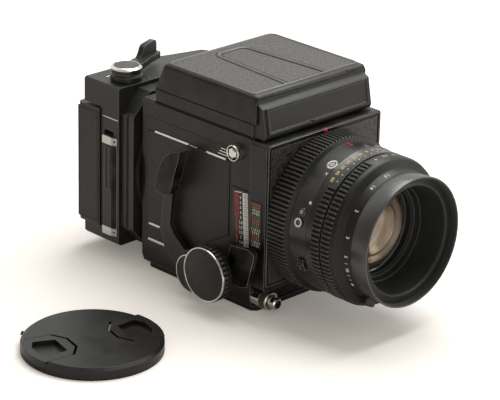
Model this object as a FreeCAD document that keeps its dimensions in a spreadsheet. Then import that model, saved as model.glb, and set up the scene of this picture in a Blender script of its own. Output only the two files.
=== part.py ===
import FreeCAD, Part
import os
import re
import Sketcher

# Medium format reflex camera with bellows focusing, a folding hood, a turning film back and its lens cap.
# Millimetres. The lens looks along -Y, +Z is up, and the origin is the mouth of the tripod socket.

doc = FreeCAD.newDocument("MediumFormatCamera")
sheet = doc.addObject("Spreadsheet::Sheet", "Sizes")


def rule(text):
    """The expression for a size rule written with the sheet's names."""
    return re.sub(r"[A-Za-z_]\w*", lambda word: "Sizes." * (word.group() in rows) + word.group(), str(text))


def bind(thing, **rules):
    """Ties properties of a document object to size rules; a double underscore stands for a dot."""
    for name, text in rules.items():
        thing.setExpression(name.replace("__", "."), rule(text))


def place(thing, x="0", y="0", z="0"):
    bind(thing, Placement__Base__x=x, Placement__Base__y=y, Placement__Base__z=z)
    return thing


def new_body(label):
    return doc.addObject("PartDesign::Body", label)


def origin_part(body, role):
    return next(part for part in body.Origin.OriginFeatures if part.Role == role)


def sketch_on(body, role, offset="0"):
    """An empty sketch parallel to one of the body's own origin planes, moved along its normal."""
    sketch = body.newObject("Sketcher::SketchObject", body.Name + "_sketch")
    sketch.AttachmentSupport = [(origin_part(body, role), "")]
    sketch.MapMode = "FlatFace"
    bind(sketch, AttachmentOffset__Base__z=offset)
    return sketch


def pin_point(sketch, curve, end, x, y):
    """Holds one end or centre of a curve at a place given by two size rules."""
    for kind, text in (("DistanceX", x), ("DistanceY", y)):
        value = float(sketch.evalExpression(rule(text)))
        number = sketch.addConstraint(Sketcher.Constraint(kind, -1, 1, curve, end, value))
        sketch.setExpression(f"Constraints[{number}]", rule(text))


def polygon(sketch, points):
    """A closed outline of straight lines whose corners all follow size rules."""
    first = sketch.GeometryCount
    count = len(points)
    spots = [[float(sketch.evalExpression(rule(text))) for text in point] for point in points]
    for number in range(count):
        start = FreeCAD.Vector(*spots[number], 0)
        finish = FreeCAD.Vector(*spots[(number + 1) % count], 0)
        sketch.addGeometry(Part.LineSegment(start, finish), False)
    for number in range(count):
        following = first + (number + 1) % count
        sketch.addConstraint(Sketcher.Constraint("Coincident", first + number, 2, following, 1))
    for number, (x, y) in enumerate(points):
        pin_point(sketch, first + number, 1, x, y)


def rectangle(sketch, left, right, low, high):
    polygon(sketch, [(left, low), (right, low), (right, high), (left, high)])


def circle(sketch, x, y, radius):
    value = float(sketch.evalExpression(rule(radius)))
    curve = sketch.addGeometry(Part.Circle(FreeCAD.Vector(0, 0, 0), FreeCAD.Vector(0, 0, 1), value), False)
    pin_point(sketch, curve, 3, x, y)
    number = sketch.addConstraint(Sketcher.Constraint("Radius", curve, value))
    sketch.setExpression(f"Constraints[{number}]", rule(radius))


def feature(body, kind, sketch):
    made = body.newObject("PartDesign::" + kind, body.Name + "_" + kind.lower())
    made.Profile = sketch
    return made


def pad(body, sketch, length, midplane=False):
    made = feature(body, "Pad", sketch)
    bind(made, Length=length)
    if midplane:
        made.SideType = "Symmetric"
    return made


def revolve(body, sketch, axis):
    made = feature(body, "Revolution", sketch)
    made.ReferenceAxis = (sketch, [axis])
    made.Angle = 360
    return made


def pocket(body, sketch, length="", forward=False):
    """Cuts the sketch out of the body, right through both ways where no length is given."""
    made = feature(body, "Pocket", sketch)
    if length:
        bind(made, Length=length)
        made.Reversed = forward
    else:
        made.Type = "ThroughAll"
        made.SideType = "Symmetric"
    return made


def cut_rectangle(body, role, offset, box, length="", forward=False):
    sketch = sketch_on(body, role, offset)
    rectangle(sketch, *box)
    return pocket(body, sketch, length, forward)


def cut_circle(body, role, offset, ring, length="", forward=False):
    sketch = sketch_on(body, role, offset)
    circle(sketch, *ring)
    return pocket(body, sketch, length, forward)


def add_rectangle(body, role, offset, box, length, midplane=False):
    sketch = sketch_on(body, role, offset)
    rectangle(sketch, *box)
    return pad(body, sketch, length, midplane)


def add_polygon(body, role, offset, points, length, midplane=False):
    sketch = sketch_on(body, role, offset)
    polygon(sketch, points)
    return pad(body, sketch, length, midplane)


def add_circle(body, role, offset, ring, length, midplane=False):
    sketch = sketch_on(body, role, offset)
    circle(sketch, *ring)
    return pad(body, sketch, length, midplane)


def round_edges(body, along, radius, test=lambda edge: True):
    """Rounds the straight edges of the last feature that run along one axis and pass the test."""
    doc.recompute()
    last = body.Tip
    chosen = []
    for number, edge in enumerate(last.Shape.Edges, 1):
        if edge.Curve.TypeId != "Part::GeomLine":
            continue
        direction = edge.Curve.Direction
        if abs(abs(direction.dot(along)) - 1) < 1e-6 and test(edge):
            chosen.append(f"Edge{number}")
    made = body.newObject("PartDesign::Fillet", body.Name + "_fillet")
    made.Base = (last, chosen)
    bind(made, Radius=radius)
    doc.recompute()
    return made


def turn_pattern(body, original, axis, count, sweep="360"):
    """Repeats one feature evenly round one of the body's own axes, over the sweep in degrees."""
    pattern = body.newObject("PartDesign::PolarPattern", body.Name + "_ribs")
    pattern.Originals = [original]
    pattern.Axis = (origin_part(body, axis), [""])
    bind(pattern, Angle=sweep, Occurrences=count)
    body.Tip = pattern
    return pattern


def turn(thing, axis, angle):
    """Turns a document object about its own origin by a named angle."""
    thing.Placement = FreeCAD.Placement(FreeCAD.Vector(0, 0, 0), FreeCAD.Rotation(axis, measure(angle)))
    bind(thing, Placement__Rotation__Angle=angle)


def group(label, *members):
    """Separate solids of one kind that share a node."""
    made = doc.addObject("Part::Compound", label)
    made.Links = list(members)
    return made


def mirrored(body):
    """The same piece on the other side of the camera."""
    made = doc.addObject("Part::Mirroring", body.Name + "_other_side")
    made.Source = body
    made.Normal = FreeCAD.Vector(1, 0, 0)
    return made


def box_between(name, low, high):
    """A Part box between two corners that are given by size rules."""
    made = doc.addObject("Part::Box", name)
    place(made, *low)
    spans = [f"({top}) - ({bottom})" for bottom, top in zip(low, high)]
    bind(made, Length=spans[0], Width=spans[1], Height=spans[2])
    return made


X = FreeCAD.Vector(1, 0, 0)
Y = FreeCAD.Vector(0, 1, 0)
Z = FreeCAD.Vector(0, 0, 1)

sizes = {
    # Body casing
    "lens_axis": 59.1,
    "body_half": 46,
    "body_front": 50.2,
    "body_rear": 45,
    "body_rise": 50.9,
    "body_edge": 1.2,
    "base_inset": 1.65,
    "base_lip": 2.4,
    "base_short": 6,
    "base_thick": 3,
    "base_flare": 8,
    "base_corner": 3,
    "side_wall": 9.5,
    "chamber_floor": 30,
    "roof_wall": 6,
    "window_drop": 9,
    "front_wall": 4.2,
    "bay_wall": 8,
    "floor_wall": 2,
    "screen_shelf": 1.5,
    "screen_front": 40,
    "screen_rear": 36,
    "screen_ledge": 3,
    "screen_thick": 2,
    "screen_drop": 0.4,
    "screen_play": 0.2,
    "running_gap": 0.05,
    "seam": 0.3,
    "over_cut": 1,
    # Tripod socket
    "socket_bore": 3.175,
    "socket_body": 7,
    "socket_flange": 1,
    "socket_depth": 8,
    "socket_end": 1.2,
    # Focusing drive
    "shaft_radius": 3,
    "shaft_short": 2.3,
    "knob_axis_y": -33.2,
    "knob_axis_z": 24.8,
    "knob_room": 0.8,
    "knob_boss_long": 3.4,
    "knob_thick": 7.9,
    "knob_radius": 17.3,
    "knob_rib": 0.7,
    "knob_rib_half": 0.75,
    "knob_ribs": 36,
    "knob_boss": 7,
    "knob_ring": 1.6,
    "knob_ring_deep": 1.3,
    "knob_dish": 0.6,
    "pitch_radius": 8,
    "teeth": 16,
    "tooth_addendum": 0.85,
    "tooth_dedendum": 1.2,
    "tooth_half": 0.6,
    "tooth_slope": 0.36,
    "gear_cover": 1.6,
    "gear_wide": 2.8,
    "gear_room": 0.35,
    "rail_high": 3.2,
    "rail_rear": 17,
    "rack_teeth": 19,
    "rack_pitch": 3.14159,
    # Front standard
    "standard_over": 2.2,
    "standard_deep": 13.5,
    "standard_down": 41.7,
    "standard_up": 50.5,
    "standard_wall": 3,
    "standard_face": 4,
    "standard_round": 2.5,
    "throat_wall": 9,
    "leather_thick": 0.5,
    "leather_inset": 3.4,
    "leather_foot": 1.5,
    "bellows_over": 1.8,
    "bellows_room": 0.4,
    "bellows_fold": 2.8,
    "bellows_wall": 1.2,
    "bellows_folds": 4,
    # Lens
    "mount_ring_gap": 0.7,
    "mount_ring_long": 16.1,
    "mount_ring_bevel": 2.2,
    "mount_ring_over": 5.5,
    "neck_edge": 5.2,
    "ring_play": 0.1,
    "rib_depth": 0.9,
    "ring_gap": 0.3,
    "housing_long": 12.6,
    "housing_over": 2.7,
    "housing_web": 0.8,
    "sleeve_step": 4.7,
    "sleeve_wall": 3.4,
    "lens_tail": 11.7,
    "rear_wall": 8,
    "speed_ring_long": 11.8,
    "aperture_ring_long": 9.7,
    "sleeve_over": 0.1,
    "rib_over": 0.5,
    "aperture_lip_under": 0.9,
    "cone_long": 2.6,
    "cone_over": 1.2,
    "scale_long": 5.5,
    "scale_over": 2.4,
    "rim_long": 13.3,
    "rim_over": 1.1,
    "rim_wall": 1.3,
    "thread_long": 4.5,
    "ledge_deep": 5.5,
    "glass_deep": 26.3,
    "glass_thick": 6,
    "glass_ledge": 3,
    "glass_edge": 2.2,
    "funnel_deep": 5.8,
    "barrel_tail": 6,
    "barrel_lip": 4,
    "barrel_step": 1.3,
    "shutter_thick": 6,
    "iris_radius": 15,
    "glass_bulge": 3.2,
    "mount_ribs": 60,
    "speed_ribs": 46,
    "aperture_ribs": 46,
    "ribbed_turn": 270,
    "speed_ribs_from": 45.5,
    "aperture_ribs_from": 76,
    "rib_half": 1.2,
    "preview_angle": -110,
    "preview_half": 3.6,
    "preview_back": 1.2,
    "preview_wide": 4.4,
    "preview_high": 1.6,
    "preview_knob": 1.1,
    # Hood
    "hood_inset": 0.4,
    "hood_rear": 34,
    "hood_frame_high": 8.5,
    "hood_rim_side": 7.6,
    "hood_rim_front": 7.2,
    "hood_rim_rear": 6,
    "hood_block_rear": 49.2,
    "plate_foot_out": 9.8,
    "plate_foot_up": 2.5,
    "plate_lean": 3,
    "plate_head_down": 7.6,
    "hinge_out": 1.4,
    "hinge_down": 2.2,
    "hinge_barrel": 1.4,
    "hinge_mid": 30,
    "lid_short": 2,
    "lid_high": 18.1,
    "lid_wall": 1.6,
    "lid_slope": 3,
    "lid_nose": 1,
    "flap_hinge_out": 2.5,
    "flap_hinge_up": 2.5,
    "flap_hinge_in": 0.5,
    "flap_thick": 1,
    "flap_barrel": 1.2,
    "flap_pin": 0.7,
    "flap_split": 4.5,
    "flap_over": 3,
    "flap_shoulder": 18,
    "flap_slant": 12,
    "flap_ear": 2,
    "flap_ear_half": 1.5,
    "flap_mitre": 0.6,
    "rear_flap_inset": 6.4,
    "panel_edge": 2.4,
    "panel_seam": 1.5,
    "panel_mid_front": 16.4,
    "panel_mid_rear": 12,
    "panel_mid_end": 19.5,
    "panel_corner": 4,
    "magnifier_half": 14,
    "magnifier_y": -14,
    "magnifier_hang": 6,
    "magnifier_thick": 2,
    "magnifier_lens": 10.5,
    "magnifier_foot": 3,
    # Mirror
    "mirror_hinge_y": 34,
    "mirror_hinge_down": 4,
    "mirror_pin": 1.5,
    "mirror_pin_in": 2.2,
    "mirror_long": 78,
    "mirror_room": 1.5,
    "mirror_back": 2,
    "mirror_glass": 1.6,
    "mirror_angle": 45,
    # Film back
    "flange_outer": 49,
    "flange_thick": 3.9,
    "adapter_thick": 10.8,
    "adapter_half": 50,
    "adapter_high": 51,
    "adapter_cut": 14,
    "adapter_groove": 1.2,
    "gate_half": 36,
    "gate_high": 29,
    "spigot_radius": 45.2,
    "spigot_long": 3.8,
    "holder_deep": 16.1,
    "housing_deep": 15.6,
    "holder_half": 52,
    "holder_down": 42.1,
    "holder_up": 37.9,
    "housing_low": 9,
    "housing_high": 15.5,
    "housing_fall": 5,
    "gate_wall": 3.7,
    "chamber_wall": 1.8,
    "end_wall": 3,
    "latch_channel": 4.6,
    "latch_start": 4.9,
    "latch_wide": 8.4,
    "latch_under": 2.4,
    "latch_short": 17,
    "latch_cap": 5.2,
    "latch_travel": 3,
    "latch_gap": 0.2,
    "latch_loop": 14,
    "cover_gap": 0.6,
    "cover_deep": 19.9,
    "cover_over": 1.2,
    "cover_inset": 1.6,
    "cover_wall": 2,
    "cover_round": 3,
    "cover_knuckle": 1.7,
    "knuckle_out": 1,
    "knuckle_one": 25.5,
    "knuckle_two": 49,
    "knuckle_tall": 8,
    "knuckle_end": 5,
    "knuckle_gap": 0.5,
    "hinge_pin": 0.7,
    "spool_inset": 18.5,
    "spool_back": 19.7,
    "spool_flange": 12.4,
    "spool_core": 6,
    "spool_half": 32,
    "spool_disc": 1.6,
    "spool_pin": 2,
    "spool_pin_long": 2,
    "film_wrap": 10.8,
    "end_plate": 2,
    "plate_wide": 19.5,
    "plate_high": 29,
    "plate_room": 1,
    "plate_thick": 1.5,
    "slide_back": 0.75,
    "slide_thick": 0.5,
    "slide_over": 2,
    "slide_play": 0.15,
    "slide_out": 7,
    "slide_grip_half": 0.75,
    "slide_tongue": 9,
    "wind_inset": 15.7,
    "wind_back": 10.6,
    "wind_flange_high": 4.2,
    "wind_cap_high": 4.6,
    "wind_flange": 10,
    "wind_radius": 8.9,
    "wind_arm": 34,
    "wind_arm_half": 4.2,
    "wind_arm_drop": 0.8,
    "wind_tab_high": 7.7,
    "wind_tab_long": 11,
    "wind_swing": 22.7,
    # Cocking lever and focus lock
    "cocking_y": -12.8,
    "cocking_z": 16.3,
    "cocking_axle": 4,
    "cocking_disc": 12,
    "cocking_disc_lift": 3.6,
    "cocking_disc_thick": 3.8,
    "arm_clear": 3.3,
    "arm_thick": 3.1,
    "handle_thick": 6.6,
    "lock_clear": 0.6,
    "lock_thick": 3.2,
    # Shutter release
    "release_inset": 6,
    "release_z": 8.9,
    "release_boss": 5.8,
    "boss_long": 6.8,
    "collar_long": 5,
    "collar_radius": 5.6,
    "collar_ribs": 24,
    "button_long": 11,
    "button_radius": 3.6,
    "button_stem": 1.6,
    "cable_bore": 1.5,
    "cable_deep": 6,
    "button_travel": 3,
    # Side furniture
    "side_leather_front": 30.4,
    "side_leather_rear": 40.4,
    "side_leather_low": 14.6,
    "side_leather_down": 20,
    "leather_round": 17,
    "lug_y": -37.2,
    "lug_down": 11.6,
    "lug_head": 4.2,
    "lug_stand": 4.6,
    "shoe_half": 11,
    "shoe_slot": 9.4,
    "shoe_low": 66,
    "shoe_long": 20,
    "shoe_deep": 4.4,
    "shoe_lip": 1.3,
    "shoe_mouth": 6.2,
    "shoe_base": 1.1,
    "plate_rear": 33.5,
    "plate_front_edge": 0.8,
    "scale_low": 38.5,
    "scale_high": 75.5,
    "exposure_edge": 2.9,
    "exposure_wide": 8.8,
    "exposure_low": 44,
    "exposure_tall": 28.7,
    # Lens cap on the table
    "cap_x": -149.4,
    "cap_y": -26.9,
    "cap_turn": -14,
    "cap_radius": 41.5,
    "cap_high": 7.2,
    "cap_top": 2,
    "cap_skirt": 1.9,
    "cap_bevel": 1.6,
    "grip_start": 14,
    "grip_bend": 20,
    "grip_half": 17,
    "grip_low": 2.4,
    "grip_gap": 0.4,
    "grip_travel": 1.5,
    "grip_pocket": 3,
    # Chrome trim bars: how far they stand out, then rear end, front end, level and height of each line
    "trim_out": 1.1,
    "trim_long_rear": 33.9,
    "trim_long_front": 3.0,
    "trim_long_level": 91.3,
    "trim_long_tall": 1.4,
    "trim_thin_rear": 2.9,
    "trim_thin_front": -4.0,
    "trim_thin_level": 91.3,
    "trim_thin_tall": 0.5,
    "trim_short_rear": -10.9,
    "trim_short_front": -28.9,
    "trim_short_level": 91.1,
    "trim_short_tall": 1.4,
    "trim_line_one_rear": -24.0,
    "trim_line_one_front": -29.0,
    "trim_line_one_level": 97.2,
    "trim_line_one_tall": 0.7,
    "trim_line_two_rear": -22.8,
    "trim_line_two_front": -29.5,
    "trim_line_two_level": 95.4,
    "trim_line_two_tall": 0.7,
    "trim_line_three_rear": -21.6,
    "trim_line_three_front": -30.0,
    "trim_line_three_level": 93.6,
    "trim_line_three_tall": 0.7,
    "trim_upper_rear": 38.7,
    "trim_upper_front": 27.8,
    "trim_upper_level": 30.0,
    "trim_upper_tall": 1.5,
    "trim_lower_rear": 39.5,
    "trim_lower_front": 23.1,
    "trim_lower_level": 19.5,
    "trim_lower_tall": 1.7,
}

# Faces, levels and radii that follow from the sizes, from the body outward.
places = {
    "body_top": "lens_axis + body_rise",
    "base_half": "body_half - base_inset",
    "base_front": "body_front + base_lip",
    "base_rear": "body_rear - base_short",
    "chamber_half": "body_half - side_wall",
    "chamber_top": "body_top - roof_wall",
    "window_top": "chamber_top - window_drop",
    "bay_half": "body_half - bay_wall",
    "bay_roof": "chamber_floor - floor_wall",
    "screen_half": "chamber_half + screen_shelf",
    "gear_inner": "body_half - gear_cover - gear_wide",
    "standard_half": "body_half + standard_over",
    "standard_front": "body_front + standard_deep",
    "standard_low": "lens_axis - standard_down",
    "standard_high": "lens_axis + standard_up",
    "bellows_half": "chamber_half + bellows_over",
    "bellows_rise": "standard_down - standard_wall - bellows_room",
    "neck_radius": "standard_half - neck_edge",
    "throat_radius": "neck_radius - throat_wall",
    "rear_bore": "throat_radius - rear_wall",
    "mount_ring_radius": "neck_radius + mount_ring_over",
    "housing_radius": "neck_radius + housing_over",
    "sleeve_radius": "housing_radius - sleeve_step",
    "rib_radius": "housing_radius + rib_over",
    "aperture_lip": "rib_radius - aperture_lip_under",
    "barrel_radius": "sleeve_radius - sleeve_wall - barrel_step",
    "scale_radius": "barrel_radius + scale_over",
    "cone_radius": "scale_radius + cone_over",
    "rim_radius": "scale_radius + rim_over",
    "thread_radius": "rim_radius - rim_wall",
    "ledge_radius": "thread_radius - ledge_deep",
    "glass_radius": "ledge_radius - funnel_deep",
    "mount_ring_rear": "standard_front + mount_ring_gap",
    "mount_ring_front": "mount_ring_rear + mount_ring_long",
    "mount_ring_edge": "mount_ring_front - mount_ring_bevel",
    "housing_rear": "mount_ring_front + ring_gap",
    "housing_front": "housing_rear + housing_long",
    "lens_rear": "standard_front - lens_tail",
    "speed_ring_front": "housing_front + speed_ring_long",
    "aperture_ring_front": "speed_ring_front + aperture_ring_long",
    "sleeve_front": "aperture_ring_front + sleeve_over",
    "cone_front": "aperture_ring_front + cone_long",
    "scale_front": "cone_front + scale_long",
    "rim_front": "scale_front + rim_long",
    "glass_seat": "rim_front - glass_deep",
    "glass_back": "glass_seat - glass_thick",
    "barrel_back": "glass_back - barrel_tail",
    "hood_half": "body_half - hood_inset",
    "hood_seam": "body_top + hood_frame_high",
    "hood_well_half": "hood_half - hood_rim_side",
    "hood_well_front": "hood_block_rear - hood_rim_front",
    "hood_well_rear": "hood_rear - hood_rim_rear",
    "lid_half": "body_half",
    "lid_front": "hood_block_rear - seam",
    "lid_rear": "hood_rear - lid_short",
    "lid_top": "hood_seam + lid_high",
    "plate_foot_y": "hood_block_rear + plate_foot_out",
    "plate_foot_z": "body_top + plate_foot_up",
    "plate_head_y": "plate_foot_y - plate_lean",
    "plate_head_z": "lid_top - plate_head_down",
    "hinge_y": "hood_block_rear + hinge_out",
    "hinge_z": "lid_top - hinge_down",
    "flap_hinge_x": "hood_well_half + flap_hinge_out",
    "flap_hinge_z": "hood_seam + flap_hinge_up",
    "flap_hinge_rear": "hood_well_rear - flap_hinge_in",
    "flap_high": "flap_hinge_x - flap_split",
    "flap_front": "hood_well_front + flap_over",
    "panel_front": "lid_front - panel_edge",
    "magnifier_low": "lid_top - magnifier_hang",
    "mirror_hinge_z": "chamber_top - mirror_hinge_down",
    "mirror_half": "chamber_half - mirror_room",
    "flange_rear": "body_rear + flange_thick",
    "flange_bore": "spigot_radius + ring_play",
    "adapter_front": "flange_rear + seam",
    "adapter_rear": "adapter_front + adapter_thick",
    "holder_front": "adapter_rear + seam",
    "holder_waist": "holder_front + holder_deep",
    "holder_rear": "holder_waist + housing_deep",
    "holder_floor": "lens_axis - holder_down",
    "holder_roof": "lens_axis + holder_up",
    "holder_low": "holder_floor - housing_low",
    "holder_top": "holder_roof + housing_high",
    "holder_slope": "holder_top - housing_fall",
    "latch_inner": "holder_half - latch_channel",
    "latch_front": "holder_front + latch_start",
    "latch_rear": "latch_front + latch_wide",
    "latch_low": "holder_floor - latch_under",
    "latch_high": "holder_roof - latch_short",
    "cover_front": "holder_waist + cover_gap",
    "cover_rear": "cover_front + cover_deep",
    "cover_half": "holder_half + cover_over",
    "cover_low": "holder_floor + cover_gap",
    "cover_high": "holder_roof - cover_inset",
    "cover_hinge_x": "cover_half + knuckle_out",
    "cover_hinge_y": "cover_front - seam",
    "spool_x": "holder_half - spool_inset",
    "spool_y": "holder_front + spool_back",
    "plate_y": "holder_front + gate_wall + plate_room",
    "slide_y": "holder_front + slide_back",
    "slide_half": "gate_high + slide_over",
    "slide_left": "gate_half + slide_over",
    "slide_grip": "holder_half + slide_out",
    "wind_x": "wind_inset - holder_half",
    "wind_y": "holder_front + wind_back",
    "wind_low": "holder_top + seam",
    "wind_collar": "wind_low + wind_flange_high",
    "wind_top": "wind_collar + wind_cap_high",
    "wind_arm_top": "wind_top - wind_arm_drop",
    "wind_tab_top": "wind_arm_top + wind_tab_high",
    "arm_in": "body_half + arm_clear",
    "arm_out": "arm_in + arm_thick",
    "handle_out": "arm_out + handle_thick",
    "lock_in": "arm_out + lock_clear",
    "lock_out": "lock_in + lock_thick",
    "cocking_disc_in": "arm_out + cocking_disc_lift",
    "cocking_disc_out": "cocking_disc_in + cocking_disc_thick",
    "knob_boss_start": "lock_out + knob_room",
    "knob_inner": "knob_boss_start + knob_boss_long",
    "knob_face": "knob_inner + knob_thick",
    "release_x": "release_inset - body_half",
    "boss_front": "body_front + boss_long",
    "collar_front": "boss_front + collar_long",
    "button_front": "boss_front + button_long",
    "side_leather_high": "body_top - side_leather_down",
    "lug_z": "body_top - lug_down",
    "plate_front": "body_front - plate_front_edge",
    "exposure_front": "standard_front - exposure_edge",
    "exposure_rear": "exposure_front - exposure_wide",
    "exposure_high": "exposure_low + exposure_tall",
}
rows = {**sizes, **places}
for row, alias in enumerate(rows, 1):
    sheet.set(f"A{row}", alias)
    sheet.setAlias(f"B{row}", alias)
for row, content in enumerate(rows.values(), 1):
    sheet.set(f"B{row}", f"={content}")
doc.recompute()


def measure(alias):
    return float(sheet.get(alias))


parts = []


def keep(part):
    parts.append(part)
    return part


def turned_ring(label, profile):
    """A lens piece turned about the lens axis; profile corners are distance ahead and radius."""
    body = new_body(label)
    sketch = sketch_on(body, "YZ_Plane")
    polygon(sketch, [(f"-({ahead})", radius) for ahead, radius in profile])
    revolve(body, sketch, "H_Axis")
    place(body, z="lens_axis")
    return body


def grip_ribs(body, rear, front, tip, count, sweep="360"):
    """Straight grip ribs cut on a lens ring, over the sweep in degrees."""
    rib = add_rectangle(body, "XZ_Plane", rear, ("-rib_half", "rib_half", f"{tip} - rib_depth - 0.5", tip),
                        f"({front}) - ({rear})")
    turn_pattern(body, rib, "Y_Axis", count, sweep)


# Body casing: a die-cast box with the mirror chamber running through it and the drive bay below.
shell = keep(new_body("body_shell"))
add_polygon(shell, "XZ_Plane", "-body_rear", [
    ("-base_half", "base_thick"), ("base_half", "base_thick"), ("body_half", "base_flare"),
    ("body_half", "body_top - body_edge"), ("body_half - body_edge", "body_top"),
    ("body_edge - body_half", "body_top"), ("-body_half", "body_top - body_edge"),
    ("-body_half", "base_flare"),
], "body_front + body_rear")
cut_rectangle(shell, "XZ_Plane", "-body_rear",
              ("-chamber_half", "chamber_half", "chamber_floor", "chamber_top"),
              "body_front + body_rear - front_wall", forward=True)
cut_rectangle(shell, "XZ_Plane", "0", ("-chamber_half", "chamber_half", "chamber_floor", "window_top"))
cut_rectangle(shell, "XY_Plane", "body_top",
              ("-screen_half", "screen_half", "-screen_front", "screen_rear"),
              "screen_thick + screen_drop")
cut_rectangle(shell, "XY_Plane", "body_top",
              ("screen_ledge - screen_half", "screen_half - screen_ledge",
               "screen_ledge - screen_front", "screen_rear - screen_ledge"),
              "body_top - chamber_top + 1")
cut_rectangle(shell, "XY_Plane", "base_thick",
              ("-bay_half", "bay_half", "front_wall - body_front", "base_rear"),
              "bay_roof - base_thick", forward=True)
cut_circle(shell, "YZ_Plane", "0", ("knob_axis_y", "knob_axis_z", "shaft_radius + running_gap"))
cut_circle(shell, "YZ_Plane", "-bay_half", ("cocking_y", "cocking_z", "cocking_axle + running_gap"),
           "body_half - bay_half + 1", forward=False)
cut_circle(shell, "YZ_Plane", "-chamber_half - 2.6",
           ("mirror_hinge_y", "mirror_hinge_z", "mirror_pin + running_gap"),
           "2 * chamber_half + 5.2", forward=True)
for side in ("", "-"):
    inner = f"{side}(gear_inner - gear_room)"
    outer = f"{side}(gear_inner + gear_wide + gear_room)"
    low = inner if side == "" else outer
    cut_circle(shell, "YZ_Plane", low,
               ("knob_axis_y", "knob_axis_z", "pitch_radius + tooth_addendum + gear_room"),
               "gear_wide + 2 * gear_room", forward=True)
    cut_rectangle(shell, "YZ_Plane", low,
                  ("-body_front - 1", "rail_rear + 1",
                   "knob_axis_z + pitch_radius - tooth_addendum - gear_room",
                   "knob_axis_z + pitch_radius + tooth_dedendum + rail_high + gear_room"),
                  "gear_wide + 2 * gear_room", forward=True)
cut_circle(shell, "XZ_Plane", "body_front", ("release_x", "release_z", "button_stem + running_gap"),
           "front_wall + 8")

# Base plate with its hole for the tripod socket.
base = keep(new_body("base_plate"))
add_polygon(base, "XY_Plane", "0", [
    ("-base_half", "base_corner - base_front"), ("base_corner - base_half", "-base_front"),
    ("base_half - base_corner", "-base_front"), ("base_half", "base_corner - base_front"),
    ("base_half", "base_rear"), ("-base_half", "base_rear"),
], "base_thick")
cut_circle(base, "XY_Plane", "0", ("0", "0", "socket_body + socket_flange"))

# Tripod socket: a flanged steel bush, blind at its top.
socket = keep(new_body("tripod_socket"))
socket_sketch = sketch_on(socket, "XZ_Plane")
polygon(socket_sketch, [
    ("socket_bore", "0"), ("socket_body + socket_flange", "0"),
    ("socket_body + socket_flange", "base_thick"),
    ("socket_body", "base_thick"), ("socket_body", "socket_depth + socket_end"),
    ("0", "socket_depth + socket_end"), ("0", "socket_depth"), ("socket_bore", "socket_depth"),
])
revolve(socket, socket_sketch, "V_Axis")

# Leatherette on both sides, cut away round the winding lever and the knob.
leather = new_body("side_leather_one")
add_polygon(leather, "YZ_Plane", "-body_half - leather_thick", [
    ("side_leather_rear", "side_leather_low"), ("side_leather_rear", "side_leather_high"),
    ("-side_leather_front", "side_leather_high"),
    ("-side_leather_front", "knob_axis_z + leather_round + floor_wall"),
    ("cocking_y", "cocking_z + leather_round"), ("cocking_y + leather_round", "side_leather_low"),
], "leather_thick")
side_leather = keep(group("side_leather", leather, mirrored(leather)))

# Chrome trim bars let into the sides.
trims = []
for name in ("long", "thin", "short", "line_one", "line_two", "line_three", "upper", "lower"):
    half = f"trim_{name}_tall / 2"
    seat = "-body_half - leather_thick" if name in ("upper", "lower") else "-body_half"
    bar = box_between(f"trim_{name}",
                      ("-body_half - trim_out", f"trim_{name}_front", f"trim_{name}_level - {half}"),
                      (seat, f"trim_{name}_rear", f"trim_{name}_level + {half}"))
    trims.append(bar)
    if name in ("long", "thin", "short"):
        trims.append(mirrored(bar))
chrome_trims = keep(group("chrome_trims", *trims))

# Strap lugs: turned chrome buttons that stand off each side.
lug = new_body("strap_lug_one")
lug_sketch = sketch_on(lug, "XY_Plane")
polygon(lug_sketch, [
    ("-body_half", "0"), ("-body_half", "lug_head - 0.6"), ("-body_half - 0.8", "lug_head - 1.8"),
    ("-body_half - lug_stand + 2.2", "lug_head - 1.8"), ("-body_half - lug_stand + 1.6", "lug_head"),
    ("-body_half - lug_stand + 0.5", "lug_head"), ("-body_half - lug_stand", "lug_head - 0.8"),
    ("-body_half - lug_stand", "0"),
])
revolve(lug, lug_sketch, "H_Axis")
place(lug, y="lug_y", z="lug_z")
strap_lugs = keep(group("strap_lugs", lug, mirrored(lug)))

# Focusing scale plate on the side of the body.
distance_plate = keep(new_body("distance_plate"))
add_polygon(distance_plate, "YZ_Plane", "-body_half - leather_thick", [
    ("-plate_rear", "scale_low"), ("-plate_rear", "scale_high"), ("-plate_front", "scale_high"),
    ("-plate_front", "scale_low + 1.5"),
], "leather_thick")

# Accessory shoe: a channel that a foot slides into from above, on the far side.
shoe = keep(new_body("accessory_shoe"))
add_polygon(shoe, "XY_Plane", "shoe_low", [
    ("body_half", "-shoe_half"), ("body_half + shoe_deep", "-shoe_half"),
    ("body_half + shoe_deep", "-shoe_mouth"), ("body_half + shoe_deep - shoe_lip", "-shoe_mouth"),
    ("body_half + shoe_deep - shoe_lip", "-shoe_slot"), ("body_half + shoe_base", "-shoe_slot"),
    ("body_half + shoe_base", "shoe_slot"), ("body_half + shoe_deep - shoe_lip", "shoe_slot"),
    ("body_half + shoe_deep - shoe_lip", "shoe_mouth"), ("body_half + shoe_deep", "shoe_mouth"),
    ("body_half + shoe_deep", "shoe_half"), ("body_half", "shoe_half"),
], "shoe_long")
place(shoe, x="leather_thick")

# Focusing screen, lying on the ledge under the hood.
screen = keep(new_body("focusing_screen"))
add_rectangle(screen, "XY_Plane", "body_top - screen_drop - screen_thick",
              ("screen_play - screen_half", "screen_half - screen_play",
               "screen_play - screen_front", "screen_rear - screen_play"), "screen_thick")

# Boss that carries the shutter release at the foot of the front.
boss = keep(new_body("release_boss"))
add_circle(boss, "XZ_Plane", "body_front", ("release_x", "release_z", "release_boss"),
           "boss_front - body_front")
cut_circle(boss, "XZ_Plane", "boss_front", ("release_x", "release_z", "button_stem + running_gap"),
           "boss_front - body_front")

# Flange on the rear of the body that the film back turns in.
flange = keep(new_body("rear_flange"))
add_circle(flange, "XZ_Plane", "-flange_rear", ("0", "lens_axis", "flange_outer"),
           "flange_thick")
cut_circle(flange, "XZ_Plane", "0", ("0", "lens_axis", "flange_bore"))

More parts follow.
